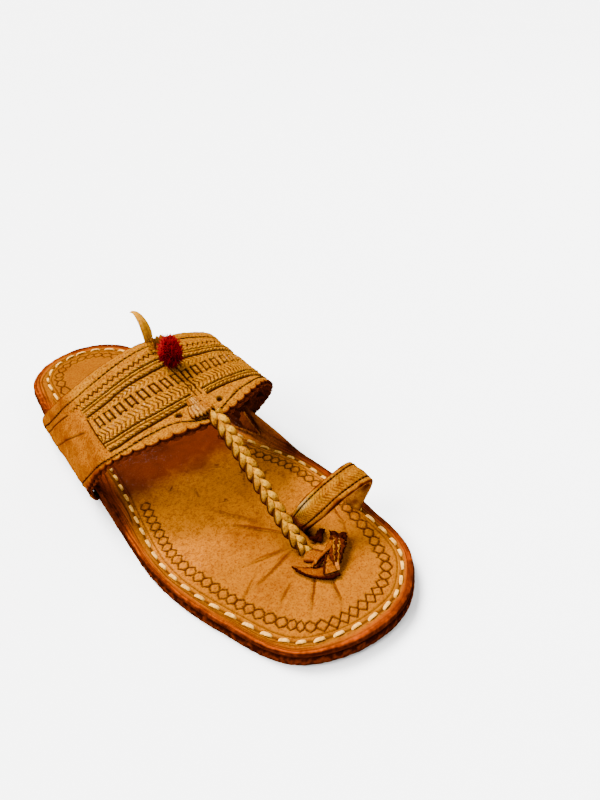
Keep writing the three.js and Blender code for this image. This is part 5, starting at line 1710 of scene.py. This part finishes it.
def make_rosette():
    """Two rings of small curled petals."""
    build = Build()
    point, side, ahead, up = band_frame(ROSETTE_U, ROSETTE_W)
    t = np.linspace(0, 1, 7)
    for ring, (count, inner, outer, low, high) in enumerate(PETAL_RINGS):
        for k in range(count):
            angle = 2 * math.pi * (k + 0.35 * ring) / count + 0.12 * math.sin(k * 2.7)
            way = side * math.cos(angle) + ahead * math.sin(angle)
            lift = low + (high - low) * t ** 1.6 * (1 + 0.15 * math.sin(k * 4.1))
            centres = point + way * mix(inner, outer, t)[:, None] + up * lift[:, None]
            width = PETAL_HALF * np.sqrt(np.clip(1 - (t * 1.7 - 0.75) ** 2, 0.02, 1))
            width = width * (1.0 + 0.15 * math.sin(k * 5.3))
            across, over = frame_along(centres, up + way * 0.2)
            tube(build, centres, across, over, width, 0.32, 8, 0.8, edge=0.4,
                 rub=0.15 + 0.35 * math.sin(k * 1.9) ** 2, burn=0.05 + 0.40 * (1 - t) ** 1.5)
    return build.object("rosette_petals", MATERIALS["band"])


def make_studs():
    """Small dark knots of thread round the rosette."""
    build = Build()
    point, side, ahead, up = band_frame(ROSETTE_U, ROSETTE_W)
    sides = np.tile(side, (STUD_STEPS, 1))
    aheads = np.tile(ahead, (STUD_STEPS, 1))
    t = np.linspace(-1, 1, STUD_STEPS)
    half = STUD_RADIUS * np.sqrt(np.clip(1 - t ** 2, 0.02, 1))
    for k in range(STUDS):
        angle = math.radians(95 + 170 * (k + 0.5) / STUDS)
        reach = 4.0 + 1.7 * (k % 3) / 2
        place = (point + side * math.cos(angle) * reach + ahead * math.sin(angle) * reach * 0.9
                 + up * STUD_LIFT)
        tube(build, place + up * (t * 0.62)[:, None], sides, aheads, half, half, 8)
    return build.object("rosette_studs", MATERIALS["stud"])


POMPOM_AT = np.array([-9.2, 141.2, 70.2])
POMPOM_AXIS = np.array([-0.25, -0.42, 0.87])
POMPOM_HALF = np.array([5.7, 5.5, 8.2])
POMPOM_CORE = 0.72
FIBRES = 2600
FIBRE_SEED = 11
FIBRE_RADIUS = 0.40
FIBRE_SIDES = 3
FIBRE_QUADS = np.array([[0, 1, 4, 3], [1, 2, 5, 4], [2, 0, 3, 5]])
FIBRE_TIPS = np.array([[3, 4, 6], [4, 5, 6], [5, 3, 6]])
# Painted shade of a fibre's corners, deepest in the tuft: three at its root, three at its middle, its tip
FIBRE_SHADE = np.array([0.8, 0.8, 0.8, 0.15, 0.15, 0.15, 0.0])
GOLDEN_ANGLE = math.pi * (3 - math.sqrt(5))
STALK_U = 0.532
STALK_W = 0.262
STALK_RADIUS = 1.8


def pompom_core(build, flat, cross, axis):
    """The middle of the tuft, dark with painted shade, and the stalk that it stands on."""
    t = np.linspace(-1, 1, 12)
    ring = np.sqrt(np.clip(1 - t ** 2, 0.001, 1))
    core = POMPOM_AT + axis * (t * POMPOM_HALF[2] * POMPOM_CORE)[:, None]
    tube(build, core, np.tile(flat, (12, 1)), np.tile(cross, (12, 1)),
         ring * POMPOM_HALF[0] * POMPOM_CORE, ring * POMPOM_HALF[1] * POMPOM_CORE, 16, burn=0.9)
    foot = band_frame(STALK_U, STALK_W)[0]
    stalk = mix(foot, POMPOM_AT, np.linspace(0, 0.8, 5)[:, None])
    tube(build, stalk, np.tile(flat, (5, 1)), np.tile(cross, (5, 1)), STALK_RADIUS, STALK_RADIUS, 12,
         burn=1.0)


def make_pompom():
    """A tuft of cut wool: tapered fibres that stand out of a core dark with painted shade."""
    build = Build()
    rng = np.random.default_rng(FIBRE_SEED)
    axis = normalise(POMPOM_AXIS)
    flat = normalise(np.cross(axis, [1.0, 0.0, 0.0]))
    cross = np.cross(flat, axis)
    pompom_core(build, flat, cross, axis)
    for k in range(FIBRES):
        level = 1 - 2 * (k + 0.5) / FIBRES
        around = k * GOLDEN_ANGLE
        r = math.sqrt(1 - level * level)
        way = flat * (r * math.cos(around)) + cross * (r * math.sin(around)) + axis * level
        size = 1.0 / np.linalg.norm(np.array([way @ flat, way @ cross, way @ axis]) / POMPOM_HALF)
        size *= 0.84 + 0.36 * rng.random() ** 3
        way = normalise(way + rng.normal(0, 0.12, 3) + axis * 0.25 * max(level, 0.0))
        bend = rng.normal(0, 0.07, 3)
        root = POMPOM_AT + way * size * 0.45
        middle = POMPOM_AT + (way + bend * 0.4) * size * 0.78
        a = normalise(np.cross(way, [0.3, 0.5, 0.8]))
        b = np.cross(way, a)
        points = []
        for centre, radius in ((root, FIBRE_RADIUS), (middle, FIBRE_RADIUS * 0.85)):
            for j in range(FIBRE_SIDES):
                angle = 2 * math.pi * j / FIBRE_SIDES
                points.append(centre + (a * math.cos(angle) + b * math.sin(angle)) * radius)
        points.append(POMPOM_AT + (way + bend) * size)
        # Painted shade on the lower side of the tuft
        low = np.clip(0.20 - 1.6 * (level + 0.05) + 0.35 * (rng.random() - 0.5), 0, 1)
        build.add(points, [FIBRE_QUADS, FIBRE_TIPS], burn=np.clip(low + FIBRE_SHADE * (1 - low), 0, 1),
                  rub=float(rng.random() > 0.93))
    return build.object("pompom_wool", MATERIALS["wool"])


# Toe knot

crumb_waves = Waves(2.8)
CRUMB_SHIFTS = ((0.0, 0.0, 0.0), (7.1, 3.3, 1.7), (2.9, 9.7, 5.3))


def crumple(build, amount, first=0):
    """Small dents over every part built since the first."""
    for k in range(first, len(build.points)):
        points = build.points[k]
        dents = [crumb_waves(points + np.array(shift)) for shift in CRUMB_SHIFTS]
        build.points[k] = points + amount * np.stack(dents, -1)


FLAT = (0.05, 0.0, 1.0)
# Smooth folds of the knot: path, widths, depths, the way the flat side looks, corner values
KNOT_FOLDS = [
    ([(-9.8, 234.6, 8.5), (-12.4, 237.6, 8.9), (-14.2, 240.8, 9.3)],
     [6.5, 7.6, 6.6], [0.7, 1.0, 1.2], FLAT, {"burn": 0.22, "ink": 0.0, "line": 0.8}),
    ([(-2.0, 235.8, 9.6), (-3.6, 239.6, 9.0), (-6.2, 243.6, 9.1), (-10.4, 247.6, 9.2), (-14.6, 249.6, 9.2)],
     [0.4, 3.0, 4.8, 5.6, 3.6], [0.5, 1.0, 1.2, 1.3, 1.2], FLAT, {"burn": 0.30, "ink": 0.0, "line": 0.8}),
    ([(-1.6, 236.2, 9.7), (-2.6, 240.2, 9.2), (-5.0, 245.2, 9.0), (-10.2, 250.4, 9.0), (-14.6, 252.0, 9.1)],
     [0.5, 1.0, 1.2, 1.6, 1.4], [0.5, 0.9, 1.0, 1.3, 1.3], FLAT, {"burn": 0.9, "ink": 0.5}),
    ([(-15.4, 243.4, 12.2), (-13.2, 246.6, 11.4), (-11.8, 249.9, 10.2)],
     [0.8, 4.4, 6.6], [0.9, 0.9, 0.9], (0.1, 0.35, 0.94), {"burn": 0.12, "ink": 0.0, "line": 0.8}),
    ([(-15.2, 243.2, 12.8), (-11.4, 246.2, 11.6), (-8.8, 248.6, 10.4)],
     [0.7, 0.9, 0.7], [0.8, 0.9, 0.7], FLAT, {"burn": 0.8}),
    ([(-7.4, 242.4, 10.2), (-11.8, 241.6, 11.4), (-16.4, 241.2, 12.4), (-21.5, 239.6, 12.8)],
     [1.2, 1.9, 2.2, 2.6], [1.0, 1.4, 1.6, 1.8], FLAT, {"burn": 0.25, "ink": 0.0, "line": 0.7}),
    ([(-8.4, 243.6, 9.8), (-12.6, 243.2, 10.8), (-17.0, 242.8, 11.8)],
     [0.8, 1.2, 1.2], [0.8, 1.0, 1.0], FLAT, {"burn": 0.95, "ink": 0.4}),
]
# Pleats of the dark folded end: shift to the side, lift, width, burn, rub
KNOT_PLEATS = [
    (-2.0, -0.3, 2.2, 0.70, 0.0), (-0.9, 0.4, 0.8, 0.30, 0.3), (0.2, 0.5, 1.6, 0.85, 0.0),
    (1.3, 0.4, 0.8, 0.25, 0.5), (2.4, -0.1, 1.7, 0.75, 0.0),
]
# Humps: place, turn in degrees, size
UPPER_HUMPS = [
    (-26.3, 239.8, 12.0, 20, 1.0), (-24.9, 237.0, 12.3, 75, 0.9), (-23.4, 238.8, 12.0, 130, 0.8),
    (-27.0, 241.6, 12.3, 60, 0.7),
]
LOWER_HUMPS = [(-23.0, 229.6, 8.4, 10, 1.1), (-20.6, 231.8, 8.4, 70, 1.0), (-18.6, 230.6, 8.4, 120, 0.9)]


def add_humps(build, humps, reach, rise, widths, depths, **values):
    """Short thongs that arch over a place."""
    for x, y, z, turn, size in humps:
        a = math.radians(turn)
        way = np.array([math.cos(a), math.sin(a), 0.0]) * reach * size
        centre = np.array([x, y, z])
        arc = [centre - way, centre + np.array([0, 0, rise * size]), centre + way]
        thong(build, arc, [w * size for w in widths], depths, FLAT, 20, 12, **values)


def make_knot():
    """A thong knotted on itself: a pointed tail, a small flap, and a dark folded end."""
    build = Build()
    for path, widths, depths, face, values in KNOT_FOLDS:
        thong(build, path, widths, depths, face, **values)
    crumple(build, 0.14)
    first = len(build.points)
    for x, z, width, burn, rub in KNOT_PLEATS:
        path = [(-25.4 - x * 0.4, 237.4 + x * 0.5, 11.6 + z), (-22.0 - x * 0.8, 241.6 + x * 0.6, 12.6 + z),
                (-18.2 - x * 0.7, 245.6 + x * 0.5, 12.2 + z), (-15.8 - x * 0.2, 248.4 + x * 0.2, 10.8)]
        thong(build, path, [width, width * 1.3, width * 0.9, width * 0.6], [1.6, 2.2, 1.6, 1.0],
              (0.1, 0.1, 1.0), burn=burn * 0.85, rub=rub, ink=0.1 if burn > 0.5 else 0.0)
    add_humps(build, UPPER_HUMPS, 2.1, 1.1, [1.8, 2.8, 1.6], [1.4, 1.9, 1.3], burn=0.80, ink=0.2)
    thong(build, [(-24.4, 237.4, 11.8), (-24.6, 235.2, 12.2), (-24.9, 233.6, 12.4)],
          [2.0, 1.2, 0.3], [1.2, 0.8, 0.3], FLAT, 12, 8, burn=1.0, ink=0.5)
    add_humps(build, LOWER_HUMPS, 2.2, 0.7, [1.4, 2.6, 1.4], [1.2, 1.7, 1.1], burn=0.92, ink=0.3)
    crumple(build, 0.32, first)
    return build.object("toe_knot_leather", MATERIALS["thong"])


def make_knot_end():
    """The pale cut end of the thong."""
    build = Build()
    thong(build, [(-16.4, 248.0, 11.0), (-15.5, 249.6, 10.6), (-15.0, 250.8, 10.0)],
          [1.7, 2.0, 1.5], [1.2, 1.3, 0.9], FLAT, 20, 12, edge=0.9)
    return build.object("toe_knot_end", MATERIALS["end"])


INWARD = (0.95, 0.2, 0.25)
# The tab of the inner side and its two raised edges: path, widths, depths, corner values
INNER_TIES = [
    ([(-40.9, 141.0, 14.4), (-40.7, 150.5, 13.6), (-41.5, 158.6, 11.6)],
     [12.0, 8.0, 0.6], [0.9, 0.9, 0.7], {"burn": 0.28, "russet": 0.5}),
    ([(-40.6, 146.0, 19.8), (-40.3, 150.0, 17.6), (-40.5, 155.0, 14.4), (-41.2, 159.6, 11.4)],
     [0.8, 1.0, 0.9, 0.5], [0.9, 1.0, 1.0, 0.8], {"rub": 0.50, "russet": 0.45}),
    ([(-35.8, 140.5, 9.4), (-37.6, 147.0, 9.9), (-39.4, 153.5, 10.6), (-41.0, 159.4, 11.3)],
     [0.7, 0.9, 0.9, 0.5], [0.9, 1.0, 1.0, 0.8], {"rub": 0.40, "russet": 0.45}),
]


def make_corner_ties():
    """A thong looped through the band's front corner outside, and a pointed tab on the inner side."""
    build = Build()
    for path, widths, depths, values in INNER_TIES:
        thong(build, path, widths, depths, INWARD, **values)
    thong(build, [(42.6, 125.0, 7.6), (44.6, 129.6, 7.8), (45.0, 133.2, 5.6), (43.8, 132.8, 3.0),
                  (42.4, 128.4, 2.6)],
          [2.0, 3.0, 3.2, 2.8, 1.6], [1.4, 1.8, 2.0, 1.8, 1.2], (1.0, 0.3, 0.1), 30, 12, burn=0.30)
    crumple(build, 0.16)
    return build.object("corner_ties", MATERIALS["thong"])


# Stage and camera

PHOTO_WIDTH = 600
PHOTO_HEIGHT = 800
FOCAL_PIXELS = 600.0
CAMERA_AZIMUTH = math.radians(35.9)
CAMERA_ELEVATION = math.radians(36.9)
CAMERA_ROLL = math.radians(-4.7)
CAMERA_DISTANCE = 361.5
CAMERA_TARGET = np.array([-84.6, 137.2, 0.0])
SENSOR_WIDTH = 36.0
# The key light comes from behind the heel, the fill from the outer side, and a soft one from the inner side.
KEY_AZIMUTH = 6.0
KEY_ELEVATION = 56.0
KEY_STRENGTH = 15.5
KEY_SOFTNESS = 26.0
FILL_AZIMUTH = 70.0
FILL_ELEVATION = 46.0
FILL_STRENGTH = 7.0
FILL_SOFTNESS = 36.0
SIDE_PLACE = (-0.90, 0.20, 0.80)
SIDE_SIZE = 0.9
SIDE_POWER = 8.0
SKY_STRENGTH = 1.2
FLOOR_REACH = 60000.0
FLOOR_DROP = 0.02
FLOOR_STEPS = 9
FLOOR_SPECULAR = 0.2
PAPER = (0.92, 0.92, 0.92)
PAPER_PALE = (0.95, 0.95, 0.95)


def placed(name, data, place, right, up, back):
    """An object in the scene at a place in metres, turned to three directions."""
    piece = bpy.data.objects.new(name, data)
    matrix = np.eye(4)
    matrix[:3, :3] = np.column_stack([right, up, back])
    matrix[:3, 3] = place
    piece.matrix_world = Matrix(matrix.tolist())
    bpy.context.scene.collection.objects.link(piece)
    return piece


def make_camera():
    data = bpy.data.cameras.new("camera")
    data.sensor_width = SENSOR_WIDTH
    data.lens = SENSOR_WIDTH * FOCAL_PIXELS / max(PHOTO_WIDTH, PHOTO_HEIGHT)
    data.clip_start = 0.01
    back = np.array([math.sin(CAMERA_AZIMUTH) * math.cos(CAMERA_ELEVATION),
                     math.cos(CAMERA_AZIMUTH) * math.cos(CAMERA_ELEVATION),
                     math.sin(CAMERA_ELEVATION)])
    place = (CAMERA_TARGET + back * CAMERA_DISTANCE + SHIFT) * MM
    flat = normalise(np.cross([0.0, 0.0, 1.0], back))
    rise = np.cross(back, flat)
    right = flat * math.cos(CAMERA_ROLL) + rise * math.sin(CAMERA_ROLL)
    up = -flat * math.sin(CAMERA_ROLL) + rise * math.cos(CAMERA_ROLL)
    bpy.context.scene.camera = placed("camera", data, place, right, up, back)


def add_disk_light(name, place, size, power):
    """A round light that looks at the middle of the floor."""
    data = bpy.data.lights.new(name, "AREA")
    data.shape = "DISK"
    data.size = size
    data.energy = power
    back = normalise(np.array(place))
    flat = normalise(np.cross([0.0, 1.0, 0.01], back))
    return placed(name, data, place, flat, np.cross(back, flat), back)


def add_sun(name, azimuth, elevation, strength, softness):
    """A light from far off. azimuth: degrees from straight behind the heel towards the outer side."""
    data = bpy.data.lights.new(name, "SUN")
    data.energy = strength
    data.angle = math.radians(softness)
    light = bpy.data.objects.new(name, data)
    light.rotation_euler = (math.radians(90.0 - elevation), 0.0, math.radians(azimuth))
    bpy.context.scene.collection.objects.link(light)
    return light


def make_stage():
    """White paper, the lights and a white sky."""
    s = Shader("floor_paper")
    tone = s.blend(s.noise(3.0, 2.0), PAPER, PAPER_PALE)
    paper = s.finish(tone, 0.95, specular=FLOOR_SPECULAR)
    build = Build()
    steps = np.linspace(-FLOOR_REACH, FLOOR_REACH, FLOOR_STEPS)
    gx, gy = np.meshgrid(steps, steps)
    build.add(np.dstack([gx, gy, np.full(gx.shape, -FLOOR_DROP)]), [grid_faces(FLOOR_STEPS, FLOOR_STEPS)])
    floor = build.object("floor", paper, shift=False)
    lights = [
        add_sun("key", KEY_AZIMUTH, KEY_ELEVATION, KEY_STRENGTH, KEY_SOFTNESS),
        add_sun("fill", FILL_AZIMUTH, FILL_ELEVATION, FILL_STRENGTH, FILL_SOFTNESS),
        add_disk_light("side", SIDE_PLACE, SIDE_SIZE, SIDE_POWER),
    ]
    world = bpy.data.worlds.new("studio")
    world.use_nodes = True
    sky = world.node_tree.nodes["Background"]
    sky.inputs["Color"].default_value = (1.0, 1.0, 1.0, 1.0)
    sky.inputs["Strength"].default_value = SKY_STRENGTH
    bpy.context.scene.world = world


# Assembly

def carry(piece, slot, *nodes):
    if nodes:
        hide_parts(*nodes)
    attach(piece, "root")


make_camera()
make_stage()
carry(make_outsole(), "sole_leather", "outsole")
carry(make_lift(), "sole_leather", "heel_lift")
carry(make_insole(), "insole_leather", "insole")
carry(make_insole_seam(), "insole_leather")
carry(make_band(), "band_leather", "upper")
carry(make_lining(), "band_leather")
carry(make_band_stitches(), "band_leather")
carry(make_loop(), "band_leather")
carry(make_loop_stitches(), "band_leather")
carry(make_braid(), "band_leather")
carry(make_patches(), "trim_leather", "patch_rear", "patch_front")
carry(make_leaf(), "trim_leather", "leaf")
carry(make_rosette(), "trim_leather", "rosette")
carry(make_studs(), "trim_leather")
carry(make_pompom(), "wool", "pompom")
carry(make_knot(), "thong_leather", "toe_knot")
carry(make_knot_end(), "thong_leather")
carry(make_corner_ties(), "thong_leather")
